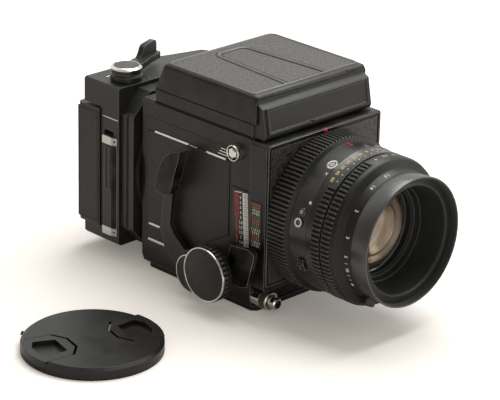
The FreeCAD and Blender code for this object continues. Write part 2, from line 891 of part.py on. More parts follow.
# Hood base: a frame round the screen with the leaning name panel block in front, left bare.
hood_base = keep(new_body("hood_base"))
add_rectangle(hood_base, "XY_Plane", "body_top",
              ("-hood_half", "hood_half", "-hood_block_rear", "hood_rear"), "hood_seam - body_top")
add_polygon(hood_base, "YZ_Plane", "0", [
    ("-hood_block_rear", "body_top + 0.5"), ("-plate_foot_y + 1", "body_top + 0.5"),
    ("-plate_foot_y", "plate_foot_z"), ("-plate_head_y", "plate_head_z"),
    ("-hinge_y - 1.6", "plate_head_z + 1.8"), ("-hinge_y - 1", "hinge_z - 1.7"),
    ("-hood_block_rear", "hinge_z - 1.7"),
], "2 * hood_half - 2", midplane=True)
for side in ("", "-"):
    start = "hinge_mid + seam" if side == "" else "1 - hood_half"
    add_circle(hood_base, "YZ_Plane", start, ("-hinge_y", "hinge_z", "hinge_barrel"),
               "hood_half - hinge_mid - seam - 1")
    add_rectangle(hood_base, "YZ_Plane", start,
                  ("-hinge_y - 0.9", "-hinge_y + 0.9", "hinge_z - 1.8", "hinge_z"),
                  "hood_half - hinge_mid - seam - 1")
cut_rectangle(hood_base, "XY_Plane", "hood_seam",
              ("-hood_well_half", "hood_well_half", "-hood_well_front", "hood_well_rear"),
              "hood_seam - body_top")
for side in ("", "-"):
    for front in ("-flap_front - flap_ear - 0.2", "flap_hinge_rear - 2.6"):
        add_rectangle(hood_base, "XZ_Plane", f"-({front} + flap_ear)",
                      (f"{side}flap_hinge_x - flap_ear_half", f"{side}flap_hinge_x + flap_ear_half",
                       "hood_seam", "flap_hinge_z + 1.4"), "flap_ear")
    start = "hood_well_half - flap_ear - 1.6" if side == "" else "1.6 - hood_well_half"
    add_rectangle(hood_base, "YZ_Plane", start,
                  ("flap_hinge_rear - flap_ear_half", "flap_hinge_rear + flap_ear_half", "hood_seam",
                   "flap_hinge_z + 1.4"), "flap_ear")
    cut_circle(hood_base, "XZ_Plane", "flap_front + 3",
               (f"{side}flap_hinge_x", "flap_hinge_z", "flap_pin + running_gap"),
               "flap_front + 3 + hood_rear")
cut_circle(hood_base, "YZ_Plane", "-hood_well_half",
           ("flap_hinge_rear", "flap_hinge_z", "flap_pin + running_gap"), "2 * hood_well_half",
           forward=True)

# Hood lid: a shallow shell open at the front and below, hung on a barrel along its front edge.
lid = keep(new_body("hood_lid"))
add_polygon(lid, "YZ_Plane", "0", [
    ("-lid_front", "hood_seam + seam"), ("-lid_front", "lid_top - lid_nose"),
    ("1.4 * lid_nose - lid_front", "lid_top"),
    ("lid_rear - lid_slope", "lid_top"), ("lid_rear", "lid_top - lid_slope"),
    ("lid_rear", "hood_seam + seam"),
], "2 * lid_half", midplane=True)
round_edges(lid, Y, "lid_slope * 0.8", lambda edge: edge.BoundBox.ZMin > measure("lid_top") - 0.1)
lid_sketch = sketch_on(lid, "YZ_Plane")
polygon(lid_sketch, [
    ("-lid_front - 2", "hood_seam - over_cut"), ("-lid_front - 2", "lid_top - lid_wall - lid_nose"),
    ("2 - lid_front", "lid_top - lid_wall"), ("lid_rear - lid_slope - 0.4", "lid_top - lid_wall"),
    ("lid_rear - lid_wall", "lid_top - lid_slope - 0.8"), ("lid_rear - lid_wall", "hood_seam - over_cut"),
])
lid_hollow = feature(lid, "Pocket", lid_sketch)
lid_hollow.SideType = "Symmetric"
bind(lid_hollow, Length="2 * (lid_half - lid_wall)")
add_rectangle(lid, "YZ_Plane", "0", ("-hinge_y", "0.2 - lid_front", "hinge_z - 0.4", "hinge_z + 1"),
              "2 * hinge_mid", midplane=True)
add_circle(lid, "YZ_Plane", "0", ("-hinge_y", "hinge_z", "hinge_barrel"), "2 * hinge_mid", midplane=True)

# Leatherette on the lid: a centre panel and one that goes round it, with the raised seam between.
centre_panel = new_body("lid_leather_centre")
add_polygon(centre_panel, "XY_Plane", "lid_top", [
    ("panel_seam - panel_mid_front", "-panel_front"), ("panel_mid_front - panel_seam", "-panel_front"),
    ("panel_mid_rear - panel_seam", "panel_mid_end - panel_seam - panel_corner"),
    ("panel_mid_rear - panel_seam - panel_corner", "panel_mid_end - panel_seam"),
    ("panel_seam + panel_corner - panel_mid_rear", "panel_mid_end - panel_seam"),
    ("panel_seam - panel_mid_rear", "panel_mid_end - panel_seam - panel_corner"),
], "leather_thick")
outer_panel = new_body("lid_leather_outer")
add_polygon(outer_panel, "XY_Plane", "lid_top", [
    ("panel_mid_front + panel_seam", "-panel_front"), ("lid_half - panel_edge", "-panel_front"),
    ("lid_half - panel_edge", "lid_rear - lid_slope - panel_corner"),
    ("lid_half - panel_edge - 3", "lid_rear - lid_slope - 0.6"),
    ("panel_edge + 3 - lid_half", "lid_rear - lid_slope - 0.6"),
    ("panel_edge - lid_half", "lid_rear - lid_slope - panel_corner"),
    ("panel_edge - lid_half", "-panel_front"), ("-panel_mid_front - panel_seam", "-panel_front"),
    ("-panel_mid_rear - panel_seam", "panel_mid_end + panel_seam - panel_corner"),
    ("panel_corner - panel_mid_rear - panel_seam", "panel_mid_end + panel_seam"),
    ("panel_mid_rear + panel_seam - panel_corner", "panel_mid_end + panel_seam"),
    ("panel_mid_rear + panel_seam", "panel_mid_end + panel_seam - panel_corner"),
], "leather_thick")
lid_leather = keep(group("lid_leather", centre_panel, outer_panel))

# Magnifier, folded flat under the lid.
magnifier = keep(new_body("magnifier_frame"))
add_rectangle(magnifier, "XY_Plane", "magnifier_low",
              ("-magnifier_half", "magnifier_half", "magnifier_y - magnifier_half",
               "magnifier_y + magnifier_half"), "magnifier_thick")
add_rectangle(magnifier, "XY_Plane", "magnifier_low + magnifier_thick",
              ("-magnifier_half", "magnifier_half", "magnifier_y - magnifier_half",
               "magnifier_y - magnifier_half + magnifier_foot"),
              "lid_top - lid_wall - magnifier_low - magnifier_thick")
cut_circle(magnifier, "XY_Plane", "0", ("0", "magnifier_y", "magnifier_lens"))
magnifier_lens = keep(new_body("magnifier_lens"))
magnifier_sketch = sketch_on(magnifier_lens, "XZ_Plane")
polygon(magnifier_sketch, [
    ("0", "-0.9"), ("magnifier_lens * 0.6", "-0.5"), ("magnifier_lens", "0.4"),
    ("magnifier_lens", "magnifier_thick - 0.4"), ("magnifier_lens * 0.6", "magnifier_thick + 0.3"),
    ("0", "magnifier_thick + 0.7"),
])
revolve(magnifier_lens, magnifier_sketch, "V_Axis")
place(magnifier_lens, y="magnifier_y", z="magnifier_low")

# Hood flaps: thin leaves folded flat, each on a barrel that turns between two ears of the base.
for label, side in (("left_flap", "-"), ("right_flap", "")):
    flap = keep(new_body(label))
    reach = f"{side}(flap_hinge_x - %s)"
    add_polygon(flap, "XY_Plane", "flap_hinge_z - flap_thick / 2", [
        (reach % "0.4", "-flap_front"), (reach % "flap_shoulder", "-flap_front"),
        (reach % "flap_high", "flap_slant - flap_front"),
        (reach % "flap_high", "flap_hinge_rear - flap_high - flap_mitre"),
        (reach % "3", "flap_hinge_rear - 3 - flap_mitre"),
        (reach % "0.4", "flap_hinge_rear - 3 - flap_mitre"),
    ], "flap_thick")
    add_circle(flap, "XZ_Plane", "-flap_hinge_rear + 3 + flap_mitre",
               (f"{side}flap_hinge_x", "flap_hinge_z", "flap_barrel"),
               "flap_hinge_rear - 3 - flap_mitre + flap_front")
    add_circle(flap, "XZ_Plane", "-flap_hinge_rear + 1.6",
               (f"{side}flap_hinge_x", "flap_hinge_z", "flap_pin"),
               "flap_hinge_rear - 1.6 + flap_front + flap_ear - 0.4")
rear_flap = keep(new_body("rear_flap"))
add_polygon(rear_flap, "XY_Plane", "flap_hinge_z - flap_thick / 2", [
    ("flap_hinge_x - rear_flap_inset", "flap_hinge_rear - 0.4"),
    ("rear_flap_inset - flap_hinge_x", "flap_hinge_rear - 0.4"),
    ("rear_flap_inset - flap_hinge_x", "flap_hinge_rear - 5"),
    ("flap_high + flap_mitre - flap_hinge_x", "flap_hinge_rear - flap_high"),
    ("flap_hinge_x - flap_high - flap_mitre", "flap_hinge_rear - flap_high"),
    ("flap_hinge_x - rear_flap_inset", "flap_hinge_rear - 5"),
], "flap_thick")
add_circle(rear_flap, "YZ_Plane", "0", ("flap_hinge_rear", "flap_hinge_z", "flap_barrel"),
           "2 * (hood_well_half - 1.8 - flap_ear)", midplane=True)
add_circle(rear_flap, "YZ_Plane", "0", ("flap_hinge_rear", "flap_hinge_z", "flap_pin"),
           "2 * (hood_well_half - 2)", midplane=True)

# Reflex mirror: its frame hangs from a pin at the rear top of the chamber and leans down to the front.
mirror_frame = keep(new_body("mirror_frame"))
add_rectangle(mirror_frame, "XY_Plane", "-mirror_back / 2",
              ("-mirror_half", "mirror_half", "-mirror_long", "0"), "mirror_back")
add_circle(mirror_frame, "YZ_Plane", "0", ("0", "0", "mirror_pin"),
           "2 * (chamber_half + mirror_pin_in)", midplane=True)
mirror_glass = keep(new_body("mirror_glass"))
add_polygon(mirror_glass, "XY_Plane", "mirror_back / 2", [
    ("3.5 - mirror_half", "-mirror_long + 2"), ("mirror_half - 3.5", "-mirror_long + 2"),
    ("mirror_half - 1.5", "-6"), ("1.5 - mirror_half", "-6"),
], "mirror_glass")
for body in (mirror_frame, mirror_glass):
    turn(body, X, "mirror_angle")
    place(body, y="mirror_hinge_y", z="mirror_hinge_z")

# Focusing shaft with its pinions and knobs.
shaft = keep(new_body("focus_shaft"))
add_circle(shaft, "YZ_Plane", "0", ("knob_axis_y", "knob_axis_z", "shaft_radius"),
           "2 * (knob_face - shaft_short)", midplane=True)
pinion = new_body("focus_pinion_one")
add_circle(pinion, "YZ_Plane", "-gear_inner - gear_wide",
           ("0", "0", "pitch_radius - tooth_dedendum"), "gear_wide")
pinion_tooth = add_polygon(pinion, "YZ_Plane", "-gear_inner - gear_wide", [
    ("-tooth_half - tooth_slope * tooth_dedendum - 0.1", "pitch_radius - tooth_dedendum - 0.3"),
    ("tooth_half + tooth_slope * tooth_dedendum + 0.1", "pitch_radius - tooth_dedendum - 0.3"),
    ("tooth_half - tooth_slope * tooth_addendum", "pitch_radius + tooth_addendum"),
    ("tooth_slope * tooth_addendum - tooth_half", "pitch_radius + tooth_addendum"),
], "gear_wide")
turn_pattern(pinion, pinion_tooth, "X_Axis", "teeth")
cut_circle(pinion, "YZ_Plane", "0", ("0", "0", "shaft_radius"))
place(pinion, y="knob_axis_y", z="knob_axis_z")
focus_pinions = keep(group("focus_pinions", pinion, mirrored(pinion)))


def focus_knob(label, side):
    """A ribbed knob with a dished face for its leather disc, turned about the shaft."""
    body = new_body(label)
    sketch = sketch_on(body, "XY_Plane")
    out = f"{side}(%s)"
    polygon(sketch, [
        (out % "knob_boss_start", "shaft_radius"), (out % "knob_boss_start", "knob_boss"),
        (out % "knob_inner", "knob_boss"), (out % "knob_inner", "knob_radius - knob_rib - 0.6"),
        (out % "knob_inner + 0.6", "knob_radius - knob_rib"),
        (out % "knob_face - knob_ring_deep", "knob_radius - knob_rib"),
        (out % "knob_face - knob_ring_deep", "knob_radius - knob_ring"),
        (out % "knob_face - knob_dish", "knob_radius - knob_ring"), (out % "knob_face - knob_dish", "0"),
        (out % "knob_face - shaft_short", "0"), (out % "knob_face - shaft_short", "shaft_radius"),
    ])
    revolve(body, sketch, "H_Axis")
    start = "knob_inner + 0.8" if side == "" else "knob_ring_deep - knob_face"
    rib = add_rectangle(body, "YZ_Plane", start,
                        ("-knob_rib_half", "knob_rib_half", "knob_radius - knob_rib - 0.5", "knob_radius"),
                        "knob_face - knob_inner - knob_ring_deep - 0.8")
    turn_pattern(body, rib, "X_Axis", "knob_ribs")
    return place(body, y="knob_axis_y", z="knob_axis_z")


left_knob = keep(focus_knob("left_focus_knob", "-"))
right_knob = keep(focus_knob("right_focus_knob", ""))
ring = new_body("knob_ring_one")
ring_sketch = sketch_on(ring, "XY_Plane")
polygon(ring_sketch, [
    ("knob_ring_deep - knob_face", "knob_radius - knob_ring"),
    ("knob_ring_deep - knob_face", "knob_radius"),
    ("0.4 - knob_face", "knob_radius"), ("-knob_face", "knob_radius - 0.4"),
    ("-knob_face", "knob_radius - knob_ring"),
])
revolve(ring, ring_sketch, "H_Axis")
place(ring, y="knob_axis_y", z="knob_axis_z")
knob_rings = keep(group("knob_rings", ring, mirrored(ring)))

# Front standard: the box that carries the lens and slides forward on its two rack rails.
standard = keep(new_body("standard_frame"))
add_rectangle(standard, "XZ_Plane", "body_front + seam",
              ("-standard_half", "standard_half", "standard_low", "standard_high"),
              "standard_front - body_front - seam")
round_edges(standard, Y, "standard_round")
cut_rectangle(standard, "XZ_Plane", "standard_front - standard_face",
              ("standard_wall - standard_half", "standard_half - standard_wall",
               "standard_low + standard_wall", "standard_high - standard_wall"),
              "standard_front - standard_face - body_front")
cut_circle(standard, "XZ_Plane", "standard_front + 1", ("0", "lens_axis", "throat_radius"),
           "standard_face + 2")
standard_leather = keep(new_body("standard_leather"))
add_rectangle(standard_leather, "XZ_Plane", "standard_front",
              ("leather_inset - standard_half", "standard_half - leather_inset",
               "standard_low + leather_inset + leather_foot", "standard_high - leather_inset"),
              "leather_thick")
cut_circle(standard_leather, "XZ_Plane", "0", ("0", "lens_axis", "neck_radius + seam"))

# Exposure scale on the side of the standard.
exposure = keep(new_body("exposure_plate"))
add_rectangle(exposure, "YZ_Plane", "-standard_half - leather_thick",
              ("-exposure_front", "-exposure_rear", "exposure_low", "exposure_high"), "leather_thick")

# Rack rails: one toothed bar on each side, running back through the body wall over the pinion.
rail = new_body("focus_rack_one")
rail_x = "-gear_inner - gear_wide"
add_rectangle(rail, "YZ_Plane", rail_x,
              ("standard_face - standard_front", "rail_rear", "knob_axis_z + pitch_radius + tooth_dedendum",
               "knob_axis_z + pitch_radius + tooth_dedendum + rail_high"), "gear_wide")
rack_tooth = add_polygon(rail, "YZ_Plane", rail_x, [
    ("knob_axis_y - rack_pitch * 2.5 - tooth_half - tooth_slope * tooth_dedendum",
     "knob_axis_z + pitch_radius + tooth_dedendum + 0.01"),
    ("knob_axis_y - rack_pitch * 2.5 - tooth_half + tooth_slope * tooth_addendum",
     "knob_axis_z + pitch_radius - tooth_addendum"),
    ("knob_axis_y - rack_pitch * 2.5 + tooth_half - tooth_slope * tooth_addendum",
     "knob_axis_z + pitch_radius - tooth_addendum"),
    ("knob_axis_y - rack_pitch * 2.5 + tooth_half + tooth_slope * tooth_dedendum",
     "knob_axis_z + pitch_radius + tooth_dedendum + 0.01"),
], "gear_wide")
rack_row = rail.newObject("PartDesign::LinearPattern", "focus_rack_teeth")
rack_row.Originals = [rack_tooth]
rack_row.Direction = (origin_part(rail, "Y_Axis"), [""])
bind(rack_row, Length="rack_pitch * (rack_teeth - 1)", Occurrences="rack_teeth")
rail.Tip = rack_row
focus_racks = keep(group("focus_racks", rail, mirrored(rail)))

# Bellows: a square leather concertina, folded up inside the hollow of the standard.
def pleated_loft(skin):
    """A ruled solid through square frames, wide and narrow by turns, skin millimetres inside the folds."""
    rear, front = -measure("body_front"), measure("standard_face") - measure("standard_front")
    steps = int(measure("bellows_folds")) * 2
    frames = []
    for step in range(steps + 1):
        inset = skin + measure("bellows_fold") * (step % 2)
        half, rise = measure("bellows_half") - inset, measure("bellows_rise") - inset
        depth = rear + (front - rear) * step / steps
        low, high = measure("lens_axis") - rise, measure("lens_axis") + rise
        frames.append(Part.makePolygon([FreeCAD.Vector(x, depth, z) for x, z in (
            (-half, low), (half, low), (half, high), (-half, high), (-half, low))]))
    return Part.makeLoft(frames, True, True)


bellows = keep(doc.addObject("Part::Feature", "bellows"))
bellows.Shape = pleated_loft(0).cut(pleated_loft(measure("bellows_wall")))

# Lens: housing with the leaf shutter, three rings that turn on it, and the deep front barrel.
mount_ring = keep(turned_ring("bayonet_ring", [
    ("mount_ring_rear", "neck_radius + ring_play"), ("mount_ring_rear", "mount_ring_radius - rib_depth"),
    ("mount_ring_edge", "mount_ring_radius - rib_depth"),
    ("mount_ring_front", "mount_ring_radius - rib_depth - 1.7"),
    ("mount_ring_front", "neck_radius + ring_play"),
]))
grip_ribs(mount_ring, "mount_ring_rear + 0.4", "mount_ring_edge", "mount_ring_radius", "mount_ribs")
housing = keep(turned_ring("shutter_housing", [
    ("lens_rear", "rear_bore"), ("lens_rear", "throat_radius"), ("standard_front", "throat_radius"),
    ("standard_front", "neck_radius"), ("housing_rear", "neck_radius"), ("housing_rear", "housing_radius"),
    ("housing_front", "housing_radius"), ("housing_front", "sleeve_radius"),
    ("sleeve_front", "sleeve_radius"), ("sleeve_front", "sleeve_radius - sleeve_wall"),
    ("housing_rear - housing_web", "sleeve_radius - sleeve_wall"),
    ("housing_rear - housing_web", "rear_bore"),
]))
speed_ring = keep(turned_ring("shutter_speed_ring", [
    ("housing_front + ring_gap", "sleeve_radius + ring_play"),
    ("housing_front + ring_gap", "rib_radius - rib_depth"), ("speed_ring_front", "rib_radius - rib_depth"),
    ("speed_ring_front", "sleeve_radius + ring_play"),
]))
grip_ribs(speed_ring, "housing_front + 4.6", "speed_ring_front - 0.3", "rib_radius", "speed_ribs",
          "ribbed_turn")
turn(speed_ring, Y, "speed_ribs_from")
place(speed_ring, z="lens_axis")
aperture_ring = keep(turned_ring("aperture_ring", [
    ("speed_ring_front + ring_gap", "sleeve_radius + ring_play"),
    ("speed_ring_front + ring_gap", "rib_radius - rib_depth"),
    ("aperture_ring_front - 1.5", "rib_radius - rib_depth"),
    ("aperture_ring_front", "aperture_lip - rib_depth"),
    ("aperture_ring_front", "sleeve_radius + ring_play"),
]))
grip_ribs(aperture_ring, "speed_ring_front + 0.8", "aperture_ring_front - 2", "rib_radius",
          "aperture_ribs", "ribbed_turn")
turn(aperture_ring, Y, "aperture_ribs_from")
place(aperture_ring, z="lens_axis")
scale_ring = keep(turned_ring("distance_ring", [
    ("sleeve_front + ring_gap", "barrel_radius + ring_play"),
    ("sleeve_front + ring_gap", "aperture_lip - 0.8"),
    ("cone_front", "cone_radius"), ("scale_front", "scale_radius"),
    ("scale_front", "barrel_radius + ring_play"),
]))
barrel = keep(turned_ring("front_barrel", [
    ("rim_front", "rim_radius"), ("rim_front", "thread_radius"),
    ("rim_front - thread_long", "thread_radius"),
    ("rim_front - thread_long", "ledge_radius"), ("glass_seat", "glass_radius"),
    ("glass_back", "glass_radius"), ("glass_back", "glass_radius - glass_ledge"),
    ("barrel_back", "glass_radius - glass_ledge"),
    ("barrel_back", "sleeve_radius - sleeve_wall"),
    ("barrel_back + barrel_lip", "sleeve_radius - sleeve_wall"),
    ("barrel_back + barrel_lip", "barrel_radius"), ("scale_front + ring_gap", "barrel_radius"),
    ("scale_front + ring_gap", "scale_radius"),
]))


def lens_element(label, back, edge, bulge, radius):
    """A glass with one flat and one domed face, its dome given by a few facets of a circle."""
    return turned_ring(label, [
        (back, "0"), (back, radius), (edge, radius), (f"{edge} + {bulge} * 0.44", f"{radius} * 0.75"),
        (f"{edge} + {bulge} * 0.75", f"{radius} * 0.5"), (f"{edge} + {bulge} * 0.94", f"{radius} * 0.25"),
        (f"{edge} + {bulge}", "0"),
    ])


front_glass = keep(lens_element("front_element", "glass_back", "glass_back + glass_edge", "glass_bulge",
                                "(glass_radius - 0.05)"))
rear_glass = keep(lens_element("rear_element", "lens_rear + 0.6", "lens_rear + 3", "glass_bulge",
                               "(rear_bore - 0.05)"))
shutter = keep(turned_ring("shutter_unit", [
    ("housing_rear - housing_web", "iris_radius"),
    ("housing_rear - housing_web", "sleeve_radius - sleeve_wall - 0.05"),
    ("housing_rear - housing_web + shutter_thick", "sleeve_radius - sleeve_wall - 0.05"),
    ("housing_rear - housing_web + shutter_thick", "iris_radius + 4"),
    ("housing_rear + 1.2", "iris_radius"),
]))

# Depth preview lever, lying on the housing low on the photographed side.
preview = keep(new_body("preview_lever"))
add_rectangle(preview, "XZ_Plane", "housing_front - preview_back - preview_wide",
              ("-preview_half", "preview_half", "housing_radius + ring_play",
               "housing_radius + preview_high"), "preview_wide")
add_rectangle(preview, "XZ_Plane", "housing_front - preview_back - preview_wide + preview_knob",
              ("-preview_knob", "preview_knob", "housing_radius + preview_high - 0.2",
               "housing_radius + preview_high + 2"), "2 * preview_knob")
turn(preview, Y, "preview_angle")
place(preview, z="lens_axis")

# Adapter plate: the revolving part of the back, with its spigot in the body flange.
adapter = keep(new_body("adapter_plate"))
add_polygon(adapter, "XZ_Plane", "-adapter_rear", [
    ("-adapter_half", "lens_axis - adapter_high + adapter_cut"),
    ("adapter_cut - adapter_half", "lens_axis - adapter_high"),
    ("adapter_half - adapter_cut", "lens_axis - adapter_high"),
    ("adapter_half", "lens_axis - adapter_high + adapter_cut"),
    ("adapter_half", "lens_axis + adapter_high - adapter_cut"),
    ("adapter_half - adapter_cut", "lens_axis + adapter_high"),
    ("adapter_cut - adapter_half", "lens_axis + adapter_high"),
    ("-adapter_half", "lens_axis + adapter_high - adapter_cut"),
], "adapter_rear - adapter_front")
for side in ("", "-"):
    near, far = f"{side}(adapter_half - adapter_groove)", f"{side}(adapter_half + over_cut)"
    left, right = (near, far) if side == "" else (far, near)
    cut_rectangle(adapter, "XY_Plane", "0", (left, right, "adapter_front + 4", "adapter_front + 6.4"))
add_circle(adapter, "XZ_Plane", "-adapter_front", ("0", "lens_axis", "spigot_radius"), "spigot_long")
cut_rectangle(adapter, "XZ_Plane", "0", ("-gate_half", "gate_half", "lens_axis - gate_high",
                                         "lens_axis + gate_high"))

# Film holder: front plate with the film gate, end walls, and the deep housings over and under the film.
holder = keep(new_body("film_holder"))
add_rectangle(holder, "XZ_Plane", "-holder_waist",
              ("-holder_half", "holder_half", "holder_floor", "holder_roof"), "holder_waist - holder_front")
add_polygon(holder, "XZ_Plane", "-holder_rear", [
    ("-holder_half", "holder_roof"), ("holder_half", "holder_roof"), ("holder_half", "holder_slope - 1"),
    ("holder_half - 5", "holder_slope + 0.4"), ("0", "holder_top"), ("1.2 - holder_half", "holder_top"),
    ("-holder_half", "holder_top - 1.2"),
], "holder_rear - holder_front")
add_polygon(holder, "XZ_Plane", "-holder_rear - 1", [
    ("1 - holder_half", "holder_low + 2"), ("3 - holder_half", "holder_low"),
    ("holder_half - 3", "holder_low"),
    ("holder_half - 1", "holder_low + 2"), ("holder_half - 1", "holder_floor"),
    ("1 - holder_half", "holder_floor"),
], "holder_rear + 1 - holder_front - 1.2")
cut_rectangle(holder, "XZ_Plane", "-holder_rear",
              ("-latch_inner + chamber_wall", "holder_half - end_wall", "holder_floor + chamber_wall",
               "holder_roof - chamber_wall"), "holder_rear - holder_front - gate_wall", forward=True)
cut_rectangle(holder, "XZ_Plane", "0", ("-gate_half", "gate_half", "lens_axis - gate_high",
                                        "lens_axis + gate_high"))
cut_rectangle(holder, "XY_Plane", "lens_axis - slide_half - 0.3",
              ("-slide_left - 1", "holder_half + 1", "slide_y - slide_play",
               "slide_y + slide_thick + slide_play"),
              "2 * slide_half + 0.6", forward=True)
cut_rectangle(holder, "XY_Plane", "latch_low - latch_gap",
              ("-holder_half - 1", "-latch_inner", "latch_front - latch_gap", "latch_rear + latch_gap"),
              "latch_high + latch_travel - latch_low + 2 * latch_gap", forward=True)
for low, tall in (("holder_floor + 3.2", "end_plate"), ("lens_axis + spool_half + 0.2", "end_plate - 0.2")):
    add_rectangle(holder, "XY_Plane", low,
                  ("chamber_wall - latch_inner", "holder_half - end_wall", "holder_front + gate_wall - 0.5",
                   "spool_y + 6"), tall)
for left in ("-spool_x", "spool_x"):
    add_circle(holder, "XY_Plane", "holder_floor + 3.2", (left, "spool_y", "spool_pin + 2"),
               "lens_axis - spool_half - 0.2 - holder_floor - 3.2")
    cut_circle(holder, "XY_Plane", "holder_floor + 3.2 + 0.6", (left, "spool_y", "spool_pin + running_gap"),
               "2 * spool_half + 12", forward=True)
for low in ("holder_floor + knuckle_one", "holder_floor + knuckle_two"):
    add_circle(holder, "XY_Plane", low, ("cover_hinge_x", "cover_hinge_y", "cover_knuckle"),
               "knuckle_tall")
    add_rectangle(holder, "XY_Plane", low,
                  ("holder_half - 0.5", "cover_hinge_x", "cover_hinge_y - cover_knuckle",
                   "holder_waist"), "knuckle_tall")
add_circle(holder, "XY_Plane", "holder_floor + knuckle_end + 2",
           ("cover_hinge_x", "cover_hinge_y", "hinge_pin"),
           "holder_roof - holder_floor - 2 * knuckle_end - 4")

# Dark slide, pushed home into its slot.
dark_slide = keep(new_body("dark_slide"))
add_rectangle(dark_slide, "XY_Plane", "lens_axis - slide_half",
              ("-slide_left", "holder_half + 1", "slide_y", "slide_y + slide_thick"), "2 * slide_half")
add_rectangle(dark_slide, "XY_Plane", "lens_axis - slide_half + 3",
              ("holder_half + seam", "slide_grip", "slide_y - slide_grip_half",
               "slide_y + slide_thick + slide_grip_half"),
              "2 * slide_half - 6")
add_rectangle(dark_slide, "XY_Plane", "lens_axis - slide_tongue",
              ("slide_grip - 1", "slide_grip + 5", "slide_y - 0.45", "slide_y + slide_thick + 0.45"),
              "2 * slide_tongue")

# Film spools: the empty take-up one stands on the winding side, the supply one across the film gate.
for label, at in (("takeup_spool", "-spool_x"), ("supply_spool", "spool_x")):
    spool = keep(new_body(label))
    sketch = sketch_on(spool, "XZ_Plane")
    core = "spool_core" if label == "takeup_spool" else "film_wrap"
    polygon(sketch, [
        ("0", "-spool_half - spool_pin_long"), ("spool_pin", "-spool_half - spool_pin_long"),
        ("spool_pin", "-spool_half"),
        ("spool_flange", "-spool_half"), ("spool_flange", "spool_disc - spool_half"),
        (core, "spool_disc - spool_half"), (core, "spool_half - spool_disc"),
        ("spool_flange", "spool_half - spool_disc"), ("spool_flange", "spool_half"),
        ("spool_pin", "spool_half"), ("spool_pin", "spool_half + spool_pin_long"),
        ("0", "spool_half + spool_pin_long"),
    ])
    revolve(spool, sketch, "V_Axis")
    place(spool, x=at, y="spool_y", z="lens_axis")

# Rear cover of the film back: a deep lid open to the front, with its hinge knuckles at one end.
cover = keep(new_body("rear_cover"))
add_rectangle(cover, "XZ_Plane", "-cover_rear",
              ("-cover_half", "cover_half", "cover_low", "cover_high"), "cover_rear - cover_front")
round_edges(cover, Z, "cover_round", lambda edge: edge.BoundBox.YMin > measure("cover_rear") - 0.1)
cut_rectangle(cover, "XZ_Plane", "cover_wall - cover_rear",
              ("cover_wall - cover_half", "cover_half - cover_wall", "cover_low + cover_wall",
               "cover_high - cover_wall"), "cover_rear - cover_wall - cover_front", forward=True)
for low, high in (("knuckle_end", "knuckle_one - knuckle_gap"),
                  ("knuckle_one + knuckle_tall + knuckle_gap", "knuckle_two - knuckle_gap"),
                  ("knuckle_two + knuckle_tall + knuckle_gap", "holder_roof - holder_floor - knuckle_end")):
    add_circle(cover, "XY_Plane", f"holder_floor + {low}",
               ("cover_hinge_x", "cover_hinge_y", "cover_knuckle"), f"{high} - ({low})")
    add_rectangle(cover, "XY_Plane", f"holder_floor + {low}",
                  ("cover_half - cover_wall + 0.3", "cover_hinge_x", "cover_front",
                   "cover_hinge_y + cover_knuckle"), f"{high} - ({low})")
for low in ("knuckle_one", "knuckle_two"):
    cut_rectangle(cover, "XY_Plane", f"holder_floor + {low} - seam",
                  ("cover_hinge_x - cover_knuckle - seam", "cover_hinge_x + over_cut",
                   "cover_front - over_cut", "cover_hinge_y + cover_knuckle + seam"),
                  "knuckle_tall + 2 * seam", forward=True)
cut_circle(cover, "XY_Plane", "0", ("cover_hinge_x", "cover_hinge_y", "hinge_pin + running_gap"))
cover_leather = keep(new_body("cover_leather"))
add_rectangle(cover_leather, "XZ_Plane", "-cover_rear - leather_thick",
              ("cover_round + 1 - cover_half", "cover_half - cover_round - 1", "cover_low + 2.5",
               "cover_high - 2.5"), "leather_thick")

# Pressure plate on its two posts behind the film.
pressure = keep(new_body("pressure_plate"))
add_rectangle(pressure, "XZ_Plane", "-plate_y - plate_thick",
              ("-plate_wide", "plate_wide", "lens_axis - plate_high", "lens_axis + plate_high"),
              "plate_thick")
for level in ("lens_axis - 17", "lens_axis + 17"):
    add_circle(pressure, "XZ_Plane", "cover_wall - cover_rear", ("0", level, "3"),
               "cover_rear - cover_wall - plate_y - plate_thick")

# Cover latch: a sliding bar with an embossed loop, and a chrome cap at each end of it.
latch = keep(new_body("latch_bar"))
add_rectangle(latch, "XZ_Plane", "-latch_rear",
              ("-cover_half", "-latch_inner - latch_gap", "latch_low + latch_cap",
               "latch_high - latch_cap"),
              "latch_rear - latch_front")
add_rectangle(latch, "YZ_Plane", "-cover_half - 0.6",
              ("latch_front + 1.8", "latch_rear - 1.8", "lens_axis - latch_loop",
               "lens_axis + latch_loop"), "0.6")
cut_rectangle(latch, "YZ_Plane", "-cover_half",
              ("latch_front + 2.8", "latch_rear - 2.8", "lens_axis - latch_loop + 1",
               "lens_axis + latch_loop - 1"), "1")
cap_one = box_between("latch_cap_low", ("-cover_half - 0.6", "latch_front", "latch_low"),
                      ("-latch_inner - latch_gap", "latch_rear", "latch_low + latch_cap"))
cap_two = box_between("latch_cap_high", ("-cover_half - 0.6", "latch_front", "latch_high - latch_cap"),
                      ("-latch_inner - latch_gap", "latch_rear", "latch_high"))
latch_caps = keep(group("latch_caps", cap_one, cap_two))

